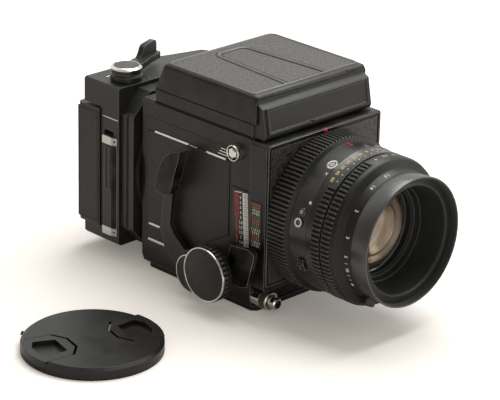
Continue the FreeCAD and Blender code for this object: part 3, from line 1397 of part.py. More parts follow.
# Film winding lever on the top of the holder.
wind = keep(new_body("wind_lever"))
wind_sketch = sketch_on(wind, "XZ_Plane")
polygon(wind_sketch, [
    ("0", "wind_low - holder_top"), ("wind_flange", "wind_low - holder_top"),
    ("wind_flange", "wind_collar - holder_top"), ("wind_radius", "wind_collar - holder_top"),
    ("wind_radius", "wind_top - holder_top - 0.8"), ("wind_radius - 0.8", "wind_top - holder_top"),
    ("wind_radius - 3", "wind_top - holder_top"), ("wind_radius - 3.2", "wind_top - holder_top - 0.5"),
    ("0", "wind_top - holder_top - 0.5"),
])
revolve(wind, wind_sketch, "V_Axis")
add_polygon(wind, "XY_Plane", "wind_collar - holder_top", [
    ("0", "wind_arm_half"), ("0", "-wind_arm_half - 2"), ("10", "-wind_arm_half - 1"),
    ("wind_arm - 10", "1 - wind_arm_half"), ("wind_arm - 1", "1 - wind_arm_half"),
    ("wind_arm", "wind_arm_half - 2"), ("wind_arm - 3", "wind_arm_half"),
], "wind_arm_top - wind_collar")
add_polygon(wind, "XY_Plane", "wind_collar - holder_top", [
    ("wind_arm - wind_tab_long", "wind_arm_half - 2.4"), ("wind_arm - 1.4", "wind_arm_half - 2.4"),
    ("wind_arm - 2.6", "wind_arm_half"), ("wind_arm - wind_tab_long - 2", "wind_arm_half"),
], "wind_tab_top - wind_collar")
turn(wind, Z, "wind_swing")
place(wind, x="wind_x", y="wind_y", z="holder_top")

# Cocking lever: a black bent arm from its hub to a tall thumb pad that stands off the side.
lever = keep(new_body("cocking_lever"))
add_polygon(lever, "YZ_Plane", "-arm_out", [
    ("17.5", "60"), ("17.5", "64"), ("11", "64"), ("11.5", "58"), ("13.5", "38.4"), ("10.2", "33"),
    ("0", "25.6"), ("-9", "28"), ("cocking_y - 8", "cocking_z + 8"), ("cocking_y - 11", "cocking_z"),
    ("cocking_y - 7", "cocking_z - 9"), ("cocking_y + 2", "cocking_z - 11"),
    ("cocking_y + 9", "cocking_z - 7"),
    ("10", "14"), ("17.7", "21.9"), ("21.5", "32.6"), ("20.5", "46"),
], "arm_out - arm_in")
cut_circle(lever, "YZ_Plane", "0", ("cocking_y", "cocking_z", "cocking_axle"))
add_polygon(lever, "YZ_Plane", "-handle_out", [
    ("20.2", "63.4"), ("15.5", "77"), ("11.6", "84"), ("5.6", "88.4"), ("-1.4", "91.2"), ("-0.4", "86"),
    ("3.4", "74"), ("6.4", "63.5"), ("9.5", "60.5"), ("17", "60.5"),
], "handle_out - arm_out + 0.8")

# Chromed hub and axle of the cocking lever.
hub = keep(new_body("cocking_hub"))
hub_sketch = sketch_on(hub, "XY_Plane")
polygon(hub_sketch, [
    ("-cocking_disc_out", "0"), ("-cocking_disc_out", "cocking_disc - 1"),
    ("1 - cocking_disc_out", "cocking_disc"), ("-cocking_disc_in", "cocking_disc"),
    ("-cocking_disc_in", "cocking_axle + 3"), ("-arm_out", "cocking_axle + 3"),
    ("-arm_out", "cocking_axle"),
    ("1 - bay_half - 4", "cocking_axle"), ("1 - bay_half - 4", "0"),
])
revolve(hub, hub_sketch, "H_Axis")
place(hub, y="cocking_y", z="cocking_z")

# Focus lock lever round the knob shaft on the same side.
lock = keep(new_body("focus_lock_lever"))
add_polygon(lock, "YZ_Plane", "-lock_out", [
    ("-43.5", "43.7"), ("-58.6", "45.3"), ("-62.4", "43.6"), ("-62.9", "41.6"), ("-57.6", "21.3"),
    ("-52", "19.4"), ("-45", "19.7"), ("knob_axis_y - 3", "knob_axis_z - 5.6"),
    ("knob_axis_y + 3", "knob_axis_z - 5.6"), ("knob_axis_y + 6.4", "knob_axis_z"),
    ("knob_axis_y + 4.5", "knob_axis_z + 4.5"), ("knob_axis_y", "knob_axis_z + 6.4"), ("-39", "32"),
], "lock_out - lock_in")
cut_circle(lock, "YZ_Plane", "0", ("knob_axis_y", "knob_axis_z", "shaft_radius + ring_play"))
recess = sketch_on(lock, "YZ_Plane", "-lock_out")
polygon(recess, [("-46.6", "40.2"), ("-57.2", "41.4"), ("-54", "25.6"), ("-47.6", "25.2")])
pocket(lock, recess, "0.5", forward=True)

# Shutter release: knurled lock collar round a plunger that takes a cable.
collar = keep(new_body("release_collar"))
collar_sketch = sketch_on(collar, "YZ_Plane")
polygon(collar_sketch, [
    ("-boss_front - seam", "button_radius + 0.15"), ("-boss_front - seam", "collar_radius - 0.5"),
    ("0.6 - collar_front", "collar_radius - 0.5"), ("-collar_front", "collar_radius - 1"),
    ("-collar_front", "button_radius + 0.15"),
])
revolve(collar, collar_sketch, "H_Axis")
collar_rib = add_rectangle(collar, "XZ_Plane", "boss_front + 0.5",
                           ("-0.35", "0.35", "button_radius + 0.5", "collar_radius"),
                           "collar_front - boss_front - 1.2")
turn_pattern(collar, collar_rib, "Y_Axis", "collar_ribs")
place(collar, x="release_x", z="release_z")
button = keep(new_body("release_button"))
button_sketch = sketch_on(button, "YZ_Plane")
polygon(button_sketch, [
    ("0.5 - button_front", "cable_bore"), ("-button_front", "cable_bore + 0.5"),
    ("-button_front", "button_radius - 0.8"),
    ("0.8 - button_front", "button_radius"), ("-boss_front - button_travel - 0.2", "button_radius"),
    ("-boss_front - button_travel - 0.2", "button_stem"),
    ("front_wall + 1.5 - body_front", "button_stem"), ("front_wall + 1.5 - body_front", "0"),
    ("cable_deep - button_front", "0"), ("cable_deep - button_front", "cable_bore"),
])
revolve(button, button_sketch, "H_Axis")
place(button, x="release_x", z="release_z")

# Lens cap lying face up on the table beside the camera.
cap = keep(new_body("cap_shell"))
cap_sketch = sketch_on(cap, "XZ_Plane")
polygon(cap_sketch, [
    ("0", "cap_high - cap_top"), ("0", "cap_high"), ("cap_radius - cap_bevel - 0.4", "cap_high"),
    ("cap_radius", "cap_high - cap_bevel"), ("cap_radius", "0"), ("cap_radius - cap_skirt", "0"),
    ("cap_radius - cap_skirt", "cap_high - cap_top"),
])
revolve(cap, cap_sketch, "V_Axis")
for side in ("", "-"):
    points = [("grip_start - grip_travel", "-6"), ("grip_bend - grip_travel", "-15"),
              ("cap_radius + 1", "-grip_half"), ("cap_radius + 1", "grip_half"),
              ("grip_bend - grip_travel", "15"), ("grip_start - grip_travel", "6")]
    window = sketch_on(cap, "XY_Plane", "cap_high + 1")
    polygon(window, [(f"{side}({x})", y) for x, y in points])
    pocket(cap, window, "cap_high + 1 - grip_low + 0.4")
    inner, outer = f"{side}(grip_start - 6.5)", f"{side}(cap_radius - 4)"
    left, right = (inner, outer) if side == "" else (outer, inner)
    add_rectangle(cap, "XY_Plane", "grip_low - 1.2", (left, right, "-8", "8"), "1.15")
    stem = f"{side}(grip_start - 3)"
    left, right = (inner, stem) if side == "" else (stem, inner)
    add_rectangle(cap, "XY_Plane", "grip_low - 0.3", (left, right, "-8", "8"),
                  "cap_high - cap_top - grip_low + 0.5")
grips = []
for label, side in (("cap_grip_right", ""), ("cap_grip_left", "-")):
    grip = keep(new_body(label))
    grips.append(grip)
    points = [("grip_start + 0.2", "-5.8"), ("grip_bend + 0.2", "grip_gap - 15"),
              ("cap_radius + 1", "grip_gap - grip_half"), ("cap_radius + 1", "grip_half - grip_gap"),
              ("grip_bend + 0.2", "15 - grip_gap"), ("grip_start + 0.2", "5.8")]
    add_polygon(grip, "XY_Plane", "grip_low", [(f"{side}({x})", y) for x, y in points],
                "cap_high - grip_low")
    rim = sketch_on(grip, "XY_Plane")
    circle(rim, "0", "0", "cap_radius")
    circle(rim, "0", "0", "cap_radius + 9")
    pocket(grip, rim)
    hexagon = [("grip_bend", "-8"), ("33", "-11"), ("cap_radius - 5", "-4.5"), ("cap_radius - 5", "4.5"),
               ("33", "11"), ("grip_bend", "8")]
    dip = sketch_on(grip, "XY_Plane", "cap_high")
    polygon(dip, [(f"{side}({x})", y) for x, y in hexagon])
    pocket(grip, dip, "grip_pocket")
for piece in (cap, *grips):
    turn(piece, Z, "cap_turn")
    place(piece, x="cap_x", y="cap_y")

doc.recompute()
wrong = [thing.Name for thing in doc.Objects if {"Invalid", "Error"} & set(thing.State)]
if wrong:
    raise ValueError(f"objects that did not build: {wrong}")
for cutting in doc.findObjects("PartDesign::Pocket"):
    if cutting.Shape.Volume >= cutting.BaseFeature.Shape.Volume - 0.001:
        raise ValueError(f"{cutting.Name} cuts nothing")
for part in parts:
    if part.Shape.isNull() or not part.Shape.isValid():
        raise ValueError(f"{part.Label} has no valid shape")
    if part.TypeId == "PartDesign::Body" and len(part.Shape.Solids) != 1:
        raise ValueError(f"{part.Label} is in {len(part.Shape.Solids)} pieces")

os.makedirs("parts", exist_ok=True)
for part in parts:
    part.Shape.exportStep(f"parts/{part.Label}.step")
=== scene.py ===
from math import copysign, cos, radians, sin, tau

import bmesh
import bpy
from mathutils import Matrix, Vector


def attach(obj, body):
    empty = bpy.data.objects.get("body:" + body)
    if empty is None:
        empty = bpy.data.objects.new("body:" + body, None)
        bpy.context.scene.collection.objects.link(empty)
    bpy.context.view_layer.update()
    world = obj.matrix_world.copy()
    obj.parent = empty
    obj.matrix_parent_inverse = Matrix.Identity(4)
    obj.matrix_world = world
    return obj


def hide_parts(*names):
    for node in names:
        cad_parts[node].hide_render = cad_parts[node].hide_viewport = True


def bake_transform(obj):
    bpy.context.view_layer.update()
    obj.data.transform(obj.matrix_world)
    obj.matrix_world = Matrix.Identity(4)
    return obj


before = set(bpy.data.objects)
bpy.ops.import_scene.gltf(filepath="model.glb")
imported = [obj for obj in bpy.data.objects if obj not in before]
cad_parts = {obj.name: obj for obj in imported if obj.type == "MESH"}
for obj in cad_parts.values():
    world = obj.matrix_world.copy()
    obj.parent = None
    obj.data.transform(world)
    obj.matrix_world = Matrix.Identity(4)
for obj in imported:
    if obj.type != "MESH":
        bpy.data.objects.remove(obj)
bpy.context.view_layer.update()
MM = 0.001

# The table and the light. The camera stands on a white paper sweep in a bright room, under one big
# soft box from above and to the right, with weaker light from the front and the right.


def linear(code):
    """The linear colour of an sRGB hex value."""
    parts = [int(code[place:place + 2], 16) / 255 for place in (1, 3, 5)]
    return [c / 12.92 if c <= 0.04045 else ((c + 0.055) / 1.055) ** 2.4 for c in parts] + [1]


def add_node(tree, kind, inputs=None, **settings):
    """One node with its settings, its plain input values and the sockets linked to it."""
    node = tree.nodes.new(kind)
    for name, value in settings.items():
        setattr(node, name, value)
    for name, value in (inputs or {}).items():
        if isinstance(value, bpy.types.NodeSocket):
            tree.links.new(value, node.inputs[name])
        else:
            node.inputs[name].default_value = value
    return node


def remap(tree, value, low, high, new_low, new_high):
    """A value carried over from one range to another."""
    return add_node(tree, "ShaderNodeMapRange", {
        "Value": value, "From Min": low, "From Max": high, "To Min": new_low,
        "To Max": new_high}).outputs[0]


def numbers(tree, operation, first, second):
    """The outcome of one sum on two numbers."""
    return add_node(tree, "ShaderNodeMath", {0: first, 1: second}, operation=operation).outputs[0]


def vectors(tree, operation, first, second):
    """The outcomes of one sum on two vectors, or on a vector and the number that scales it."""
    socket = "Scale" if operation == "SCALE" else 1
    return add_node(tree, "ShaderNodeVectorMath", {0: first, socket: second}, operation=operation).outputs


def cleared(owner):
    """The emptied node tree of a material or a world."""
    owner.use_nodes = True
    owner.node_tree.nodes.clear()
    return owner.node_tree


def set_down(name, data):
    """A new object in the scene."""
    thing = bpy.data.objects.new(name, data)
    bpy.context.scene.collection.objects.link(thing)
    return thing


camera_target = Vector((-17.46, -20.0, 55.03)) * MM
camera_distance = 1.5
camera_turn, camera_lift, camera_roll = radians(-44.96), radians(22.06), radians(1.35)
photo_camera = set_down("photo_camera", bpy.data.cameras.new("photo_camera"))
photo_camera.data.lens = 179.0
photo_camera.data.clip_end = 30
photo_camera.matrix_world = (
    Matrix.Translation(camera_target) @ Matrix.Rotation(camera_turn, 4, "Z")
    @ Matrix.Rotation(radians(90) - camera_lift, 4, "X") @ Matrix.Rotation(camera_roll, 4, "Z")
    @ Matrix.Translation((0, 0, camera_distance)))
bpy.context.scene.camera = photo_camera
bpy.context.scene.view_settings.view_transform = "Standard"

sweep_material = bpy.data.materials.new("white_paper_sweep")
tree = cleared(sweep_material)
paper = add_node(tree, "ShaderNodeBsdfDiffuse", {"Color": linear("#f3f0ec")})
lit_paper = add_node(tree, "ShaderNodeBsdfDiffuse", {"Color": (1.14, 1.11, 1.07, 1)})
glow = add_node(tree, "ShaderNodeEmission", {"Color": linear("#fff8ef"), "Strength": 0.15})
bright_paper = add_node(tree, "ShaderNodeAddShader", {0: lit_paper.outputs[0], 1: glow.outputs[0]})
seen = add_node(tree, "ShaderNodeLightPath")
both = add_node(tree, "ShaderNodeMixShader", {
    0: seen.outputs["Is Camera Ray"], 1: paper.outputs[0], 2: bright_paper.outputs[0]})
add_node(tree, "ShaderNodeOutputMaterial", {"Surface": both.outputs[0]})
sweep_half = 6.0
sweep_mesh = bpy.data.meshes.new("table_sweep")
sweep_mesh.from_pydata([(x * sweep_half, y * sweep_half, 0) for x, y in (
    (-1, -1), (1, -1), (1, 1), (-1, 1))], [], [(0, 1, 2, 3)])
sweep_mesh.materials.append(sweep_material)
set_down("table_sweep", sweep_mesh)

for name, place, width, power in (
        ("overhead_soft_box", (0.5, 0.1, 1.4), 1.2, 19.0),
        ("front_fill", (-0.8, -1.6, 0.35), 1.0, 4.5),
        ("right_fill", (1.4, -1.3, 0.8), 1.0, 7.0)):
    lamp = set_down(name, bpy.data.lights.new(name, "AREA"))
    lamp.data.size = width
    lamp.data.energy = power
    lamp.location = place
    lamp.rotation_euler = (Vector((0, 0, 0.06)) - lamp.location).to_track_quat("-Z", "Y").to_euler()

room = bpy.data.worlds.new("bright_room")
bpy.context.scene.world = room
tree = cleared(room)
seen = add_node(tree, "ShaderNodeLightPath").outputs
through = numbers(tree, "MAXIMUM", seen["Is Camera Ray"], seen["Is Transmission Ray"])
direction = add_node(tree, "ShaderNodeTexCoord").outputs["Generated"]
behind = vectors(tree, "DOT_PRODUCT", direction, (0.66, 0.66, 0.36))["Value"]
backdrop = remap(tree, behind, 0.1, 0.8, 0.0, 1.7)
shown = numbers(tree, "MAXIMUM", through, numbers(tree, "MULTIPLY", backdrop, seen["Is Glossy Ray"]))
dim = add_node(tree, "ShaderNodeBackground", {"Color": linear("#f4ecdf"), "Strength": 0.34})
white = add_node(tree, "ShaderNodeBackground", {"Color": linear("#fdfdfc"), "Strength": 1.0})
room_mix = add_node(tree, "ShaderNodeMixShader", {
    0: shown, 1: dim.outputs[0], 2: white.outputs[0]})
add_node(tree, "ShaderNodeOutputWorld", {"Surface": room_mix.outputs[0]})

# The casing: body, hood and lens standard are die-cast aluminium in a satin black baked enamel. The
# sprayed coat is a fine orange peel. Its outer edges are painted a little grey, partly as rubbed paint
# and partly as a painted highlight. A raised line along each side marks the foot of the body's shoulder.


def edge_rounding_and_highlight(tree, width):
    """A rounded normal for cut edges and a mask along them, for wear and a painted highlight there."""
    soft = add_node(tree, "ShaderNodeBevel", {"Radius": width * MM}, samples=6).outputs[0]
    plain = add_node(tree, "ShaderNodeNewGeometry").outputs["Normal"]
    return soft, remap(tree, vectors(tree, "DOT_PRODUCT", soft, plain)["Value"], 0.995, 0.8, 0.0, 1.0)


def noise(tree, scale, detail=2.0):
    """Noise fixed to the piece, its scale in cells to the metre."""
    place = add_node(tree, "ShaderNodeTexCoord")
    return add_node(tree, "ShaderNodeTexNoise", {
        "Vector": place.outputs["Object"], "Scale": scale, "Detail": detail})


def relief(tree, height, depth, rounded):
    """A normal that raises a pattern by a depth in millimetres."""
    return add_node(tree, "ShaderNodeBump", {
        "Height": height, "Distance": depth * MM, "Strength": 1.0, "Normal": rounded}).outputs[0]


def surfaced(material, inputs):
    """The material with its one shader, of the given inputs, joined to the output."""
    tree = material.node_tree
    shader = add_node(tree, "ShaderNodeBsdfPrincipled", inputs)
    add_node(tree, "ShaderNodeOutputMaterial", {"Surface": shader.outputs[0]})
    return material


def satin_black(name, colour, wear_and_highlight, roughness, grain, depth, edge=0.5, specular=0.5):
    """Baked or moulded black: grain and depth of its skin and rounding of its edges in millimetres."""
    material = bpy.data.materials.new(name)
    tree = cleared(material)
    rounded, edges = edge_rounding_and_highlight(tree, edge)
    patches = noise(tree, 70.0, 4.0).outputs[0]
    # Edges take the second colour: partly rubbed paint, partly a painted highlight along every cut edge.
    amount = numbers(tree, "MAXIMUM", edges, remap(tree, patches, 0.35, 0.75, 0.0, 0.09))
    mixed = add_node(tree, "ShaderNodeMix", {0: amount, 6: linear(colour), 7: linear(wear_and_highlight)},
                     data_type="RGBA")
    return surfaced(material, {
        "Base Color": mixed.outputs[2],
        "Roughness": remap(tree, patches, 0.3, 0.7, roughness - 0.05, roughness + 0.07),
        "Specular IOR Level": specular,
        "Normal": relief(tree, noise(tree, 1000.0 / grain).outputs[0], depth, rounded)})


def dress(material, *names):
    """Gives kept nodes of the frame their finish."""
    for name in names:
        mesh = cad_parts[name].data
        mesh.materials.clear()
        mesh.materials.append(material)


def settled(name, form, bend=30):
    """A form in millimetres as a mesh in metres, facing out and smooth below a bend in degrees."""
    bmesh.ops.recalc_face_normals(form, faces=form.faces)
    bmesh.ops.scale(form, vec=(MM, MM, MM), verts=form.verts)
    mesh = bpy.data.meshes.new(name)
    form.to_mesh(mesh)
    form.free()
    mesh.shade_smooth()
    mesh.set_sharp_from_angle(angle=radians(bend))
    return mesh


def make_piece(name, form, material, body, slot, *replaced, bend=30):
    """A finished piece from a form in millimetres; it rides on its body, if one is given."""
    bmesh.ops.remove_doubles(form, verts=form.verts, dist=0.0005)
    piece = set_down(name, settled(name, form, bend))
    piece.data.materials.append(material)
    if replaced:
        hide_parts(*replaced)
    if body:
        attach(piece, body)
    return piece


def stitch(form, rows, closed=False):
    """Joins rows of corners to a skin, round to the first row again or with a flat face at each end."""
    for one, two in zip(rows, rows[1:] + (rows[:1] if closed else [])):
        for side in range(len(one)):
            corners = dict.fromkeys((one[side - 1], one[side], two[side], two[side - 1]))
            if len(corners) > 2:
                form.faces.new(tuple(corners))
    if not closed:
        form.faces.new(rows[0])
        form.faces.new(rows[-1])


def piping(form, path, width, height, up, closed=False):
    """A half-round bead along the corners of a path, standing on a face and sunk a little into it."""
    path, up, count, sunk = [Vector(point) for point in path], Vector(up), len(path), 0.2
    rows = []
    for here, point in enumerate(path):
        arriving = (point - path[here - 1]).normalized() if closed or here else None
        leaving = (path[(here + 1) % count] - point).normalized() if closed or here < count - 1 else None
        arriving, leaving = arriving or leaving, leaving or arriving
        ahead = (arriving + leaving).normalized()
        out = ahead.cross(up) * (width / 2 / max(0.5, ahead.dot(leaving)))
        row = [point - out - up * sunk]
        row += [point - out * cos(turn) + up * (height * sin(turn))
                for turn in (radians(degrees) for degrees in range(0, 181, 30))]
        row += [point + out - up * sunk]
        rows.append([form.verts.new(place) for place in row])
    stitch(form, rows, closed)


baked_enamel = satin_black("baked_black_enamel_on_cast_aluminium", "#0f0f0e", "#8a8880", 0.36, 0.35, 0.012,
                           specular=0.4)
dress(baked_enamel, "body_shell", "hood_base", "standard_frame", "base_plate")
flat_black = satin_black("flat_black_inside", "#0c0c0b", "#1c1c1a", 0.75, 0.3, 0.01, specular=0.3)
dress(flat_black, "mirror_frame", "left_flap", "right_flap", "rear_flap", "magnifier_frame",
      "shutter_unit", "pressure_plate", "focusing_screen", "rear_flange")
body_side = 46.0
shoulder = 98.9
form = bmesh.new()
for side in (-1, 1):
    piping(form, [(side * body_side, 41, shoulder), (side * body_side, -29.5, shoulder)], 0.9, 0.4,
           (side, 0, 0))
make_piece("shoulder_lines", form, baked_enamel, "camera_body", "casing_black")

# Leatherette: vinyl-faced cloth glued into the casing's shallow fields. Its pressed grain is a fine
# irregular pebble, drawn a little coarser than real so that it shows; its colour is painted darker in
# the valleys as painted shade and paler on the tops as a painted highlight. The casting stands up round
# each side panel as a narrow bead.


def leatherette(name, top, valley, pebble, depth, roughness=0.5, specular=0.5):
    """Pressed vinyl with pebbles of a given size and depth in millimetres."""
    material = bpy.data.materials.new(name)
    tree = cleared(material)
    place = add_node(tree, "ShaderNodeTexCoord").outputs["Object"]
    stir = vectors(tree, "SUBTRACT", noise(tree, 500.0 / pebble).outputs["Color"], (0.5, 0.5, 0.5))[0]
    warped = vectors(tree, "ADD", place, vectors(tree, "SCALE", stir, pebble * MM * 0.9)[0])[0]
    cells = add_node(tree, "ShaderNodeTexVoronoi", {"Vector": warped, "Scale": 1000.0 / pebble},
                     feature="SMOOTH_F1")
    swell = remap(tree, cells.outputs["Distance"], 0.15, 0.75, 1.0, 0.0)
    # The ramp paints shade into the pebble valleys and a highlight onto the pebble tops.
    shades = add_node(tree, "ShaderNodeValToRGB", {"Fac": swell})
    for element, code in zip(shades.color_ramp.elements, (valley, top)):
        element.color = linear(code)
    rounded, _ = edge_rounding_and_highlight(tree, 0.4)
    return surfaced(material, {
        "Base Color": shades.outputs[0], "Roughness": roughness, "Specular IOR Level": specular,
        "Normal": relief(tree, swell, depth, rounded)})


fine_vinyl = leatherette("fine_pebbled_vinyl", "#2d2b28", "#100f0e", 1.0, 0.07)
coarse_vinyl = leatherette("coarse_pebbled_vinyl", "#45433e", "#0c0c0a", 1.5, 0.16, 0.42, 0.7)
dress(fine_vinyl, "side_leather", "cover_leather")
dress(coarse_vinyl, "standard_leather")
form = bmesh.new()
for side in (-1, 1):
    piping(form, [(side * body_side, y, z) for y, z in (
        (40.9, 14.1), (40.9, 90.5), (-30.9, 90.5), (-30.9, 43.5), (-13.1, 32.9), (4.5, 14.1))],
        0.9, 0.7, (side, 0, 0), closed=True)
make_piece("side_panel_beads", form, baked_enamel, "camera_body", "casing_black")

# Bright parts: chromed brass and steel. The plating is near mirror, with faint rub marks that break
# up its reflections. The strips on the sides have slanted ends and rounded faces and are pinned on.


def plated(name, colour, roughness, rub, edge=0.3):
    """Plated or polished metal: its rub marks and the rounding of its edges in millimetres."""
    material = bpy.data.materials.new(name)
    tree = cleared(material)
    rounded, _ = edge_rounding_and_highlight(tree, edge)
    marks = noise(tree, 1000.0 / rub, 5.0).outputs[0]
    return surfaced(material, {
        "Base Color": linear(colour), "Metallic": 1.0,
        "Roughness": remap(tree, marks, 0.35, 0.7, roughness, roughness + 0.16),
        "Normal": relief(tree, marks, 0.004, rounded)})


def rectangle(left, right, low, high):
    """The corners of a rectangle between two widths and two heights."""
    return [(left, low), (right, low), (right, high), (left, high)]


def oblong(across, along):
    """The corners of a rectangle about the origin, from its half widths."""
    return rectangle(-across, across, -along, along)


def slab(form, outline, low, high, put, shrink=0.0):
    """A plate over an outline between two levels, its upper face drawn in a little for a softened edge."""
    middle = sum((Vector(corner) for corner in outline), Vector((0, 0))) / len(outline)
    inner = []
    for corner in outline:
        pull = middle - Vector(corner)
        inner.append(Vector(corner) + Vector([copysign(min(shrink, abs(way)), way) for way in pull]))
    edge = high - shrink if high > low else high + shrink
    stitch(form, [[form.verts.new(put(u, v, w)) for u, v in shape]
                  for shape, w in ((outline, low), (outline, edge), (inner, high))])


def turned(form, profile, centre, along, steps=128):
    """A turned ring or disc round an axis: profile points are (distance along it, radius)."""
    axis = Vector(along)
    side = Vector((0, 0, 1)) if abs(axis.z) < 0.5 else Vector((1, 0, 0))
    side = (side - axis * side.dot(axis)).normalized()
    other = axis.cross(side)
    rows = []
    for far, radius in profile:
        middle = Vector(centre) + axis * far
        if radius < 0.001:
            rows.append([form.verts.new(middle)] * steps)
            continue
        rows.append([form.verts.new(middle + (side * cos(turn) + other * sin(turn)) * radius)
                     for turn in (step * tau / steps for step in range(steps))])
    stitch(form, rows, closed=True)


bright_chrome = plated("bright_chrome_plate", "#dedcd6", 0.12, 1.2)
satin_chrome = plated("satin_chrome_plate", "#c9c7c1", 0.3, 0.8)
satin_steel = plated("turned_satin_steel", "#a9a8a6", 0.32, 0.8)
dress(satin_chrome, "latch_caps")
dress(bright_chrome, "release_button", "release_boss")
dress(satin_steel, "focus_shaft", "tripod_socket", "focus_racks", "focus_pinions", "accessory_shoe")
form = bmesh.new()
for side in (-1, 1):
    for rear, front, height, thick in (
            (33.9, 3.0, 91.3, 1.4), (2.9, -4.0, 91.3, 0.5), (-10.9, -28.9, 91.1, 1.4),
            (-24.0, -29.0, 97.2, 0.7), (-22.8, -29.5, 95.4, 0.7), (-21.6, -30.0, 93.6, 0.7),
            (38.7, 27.8, 30.0, 1.5), (39.5, 23.1, 19.5, 1.7)):
        slab(form, [(rear, height - thick / 2), (rear - thick * 0.6, height + thick / 2),
                    (front, height + thick / 2), (front + thick * 0.6, height - thick / 2)],
             body_side - 0.2, body_side + 1.0, lambda u, v, w: (side * w, u, v), shrink=min(0.3, thick / 3))
make_piece("bright_strips", form, bright_chrome, "camera_body", "bright_chrome", "chrome_trims")

# Strap lugs: a chromed ring screwed to each side near the top, with a dark well round a six-sided
# stud that takes the strap's clip.

lug_centre = (0, -37.2, 98.4)
lug_rings, lug_wells, lug_studs = bmesh.new(), bmesh.new(), bmesh.new()
for side in (-1, 1):
    turned(lug_rings, [(46.0, 4.1), (46.0, 5.2), (49.6, 5.2), (50.3, 4.8), (50.3, 4.4), (49.8, 4.1)],
           lug_centre, (side, 0, 0), 64)
    turned(lug_wells, [(46.0, 0), (46.0, 4.2), (48.4, 4.2), (48.4, 0)], lug_centre, (side, 0, 0), 48)
    turned(lug_studs, [(48.3, 0), (48.3, 3.5), (50.0, 3.5), (50.6, 2.7), (50.6, 0)],
           lug_centre, (side, 0, 0), 6)
make_piece("strap_lug_rings", lug_rings, bright_chrome, "camera_body", "bright_chrome", "strap_lugs")
make_piece("strap_lug_wells", lug_wells, flat_black, "camera_body", "inner_black")
make_piece("strap_lug_studs", lug_studs, bright_chrome, "camera_body", "bright_chrome")

# Distance plate: a black-enamelled aluminium plate let into the body's left side. It is silk-screened
# with red and white distance figures and a white extension scale with black strokes.


def screen_ink(name, colour):
    """Opaque screen ink, a little mottled where it lies thin over the enamel."""
    material = bpy.data.materials.new(name)
    tree = cleared(material)
    cover = noise(tree, 1000.0 / 0.6).outputs[0]
    tone = remap(tree, cover, 0.3, 0.7, 0.86, 1.0)
    ink = add_node(tree, "ShaderNodeMix", {0: tone, 6: linear("#202020"), 7: linear(colour)},
                   data_type="RGBA")
    grain = add_node(tree, "ShaderNodeBump", {"Height": cover, "Distance": 0.004 * MM})
    return surfaced(material, {
        "Base Color": ink.outputs[2], "Roughness": 0.55, "Normal": grain.outputs[0]})


def printed(form, words, height, put, bold=0.012):
    """Figures of a given height in millimetres, centred at the origin of put(u, v, level)."""
    type_face = bpy.data.curves.new("figures", "FONT")
    type_face.body = words
    type_face.size = height / 0.72
    type_face.align_x = "CENTER"
    type_face.align_y = "CENTER"
    type_face.resolution_u = 2
    type_face.extrude = 0.03
    type_face.offset = height * bold
    setting = set_down("figures", type_face)
    flat = bpy.data.meshes.new_from_object(setting)
    bpy.data.objects.remove(setting)
    start = len(form.verts)
    form.from_mesh(flat)
    form.verts.ensure_lookup_table()
    for vert in form.verts[start:]:
        vert.co = put(*vert.co)
    bpy.data.meshes.remove(flat)
    bpy.data.curves.remove(type_face)


inks = {colour: screen_ink(colour + "_screen_ink", code) for colour, code in (
    ("white", "#e9e8e2"), ("red", "#c2463c"), ("orange", "#c87c46"), ("green", "#5f9452"),
    ("yellow", "#d8c67c"), ("black", "#1c1c1b"))}
scale_enamel = satin_black("scale_plate_enamel", "#10100f", "#3a3936", 0.35, 0.4, 0.004)
dress(scale_enamel, "distance_plate", "exposure_plate")


def on_left_side(y, z, face):
    """Places print on the left side: u runs forward, v up, and the level stands out from the face."""
    return lambda u, v, w: (-face - w - 0.02, y - u, z + v)


plate_face = 46.5
red_figures, white_figures, scale_strokes, white_band = (bmesh.new() for _ in range(4))
for row, (far, near) in enumerate(zip(
        "30 20 15 12 10 9 8 7 6 5".split(), "9 6 5 4 3 2.8 2.5 2.3 2 1.6".split())):
    lean, drop = row * 0.14, row * 3.1
    printed(red_figures, far, 2.7, on_left_side(-37.6 - lean, 71.0 - drop, plate_face), 0.05)
    printed(white_figures, near, 1.8, on_left_side(-41.1 - lean, 70.6 - drop, plate_face), 0.03)
for row in range(22):
    slab(scale_strokes, oblong(1.5 if row % 2 else 0.8, 0.16), 0.03, 0.09,
         on_left_side(-45.4 - row * 0.09, 73.6 - row * 1.5, plate_face))
for outline, height in (([(-42.7, 74.3), (-47.0, 74.9), (-49.1, 39.4), (-44.9, 39.0)], 0.05),
                        ([(-36.1, 73.6), (-41.9, 74.6), (-41.9, 73.9), (-36.1, 73.0)], 0.04)):
    slab(white_band, outline, plate_face - 0.1, plate_face + height, lambda u, v, w: (-w, u, v))
for name, form, colour in (
        ("distance_figures_red", red_figures, "red"), ("distance_figures_white", white_figures, "white"),
        ("extension_scale", white_band, "white"), ("extension_strokes", scale_strokes, "black")):
    make_piece(name, form, inks[colour], "camera_body", "scale_plates")
form = bmesh.new()
piping(form, [(-46.4, y, z) for y, z in ((-33.2, 38.2), (-33.2, 75.8), (-49.6, 75.8))], 0.5, 0.35,
       (-1, 0, 0))
make_piece("distance_plate_edge", form, baked_enamel, "camera_body", "casing_black")
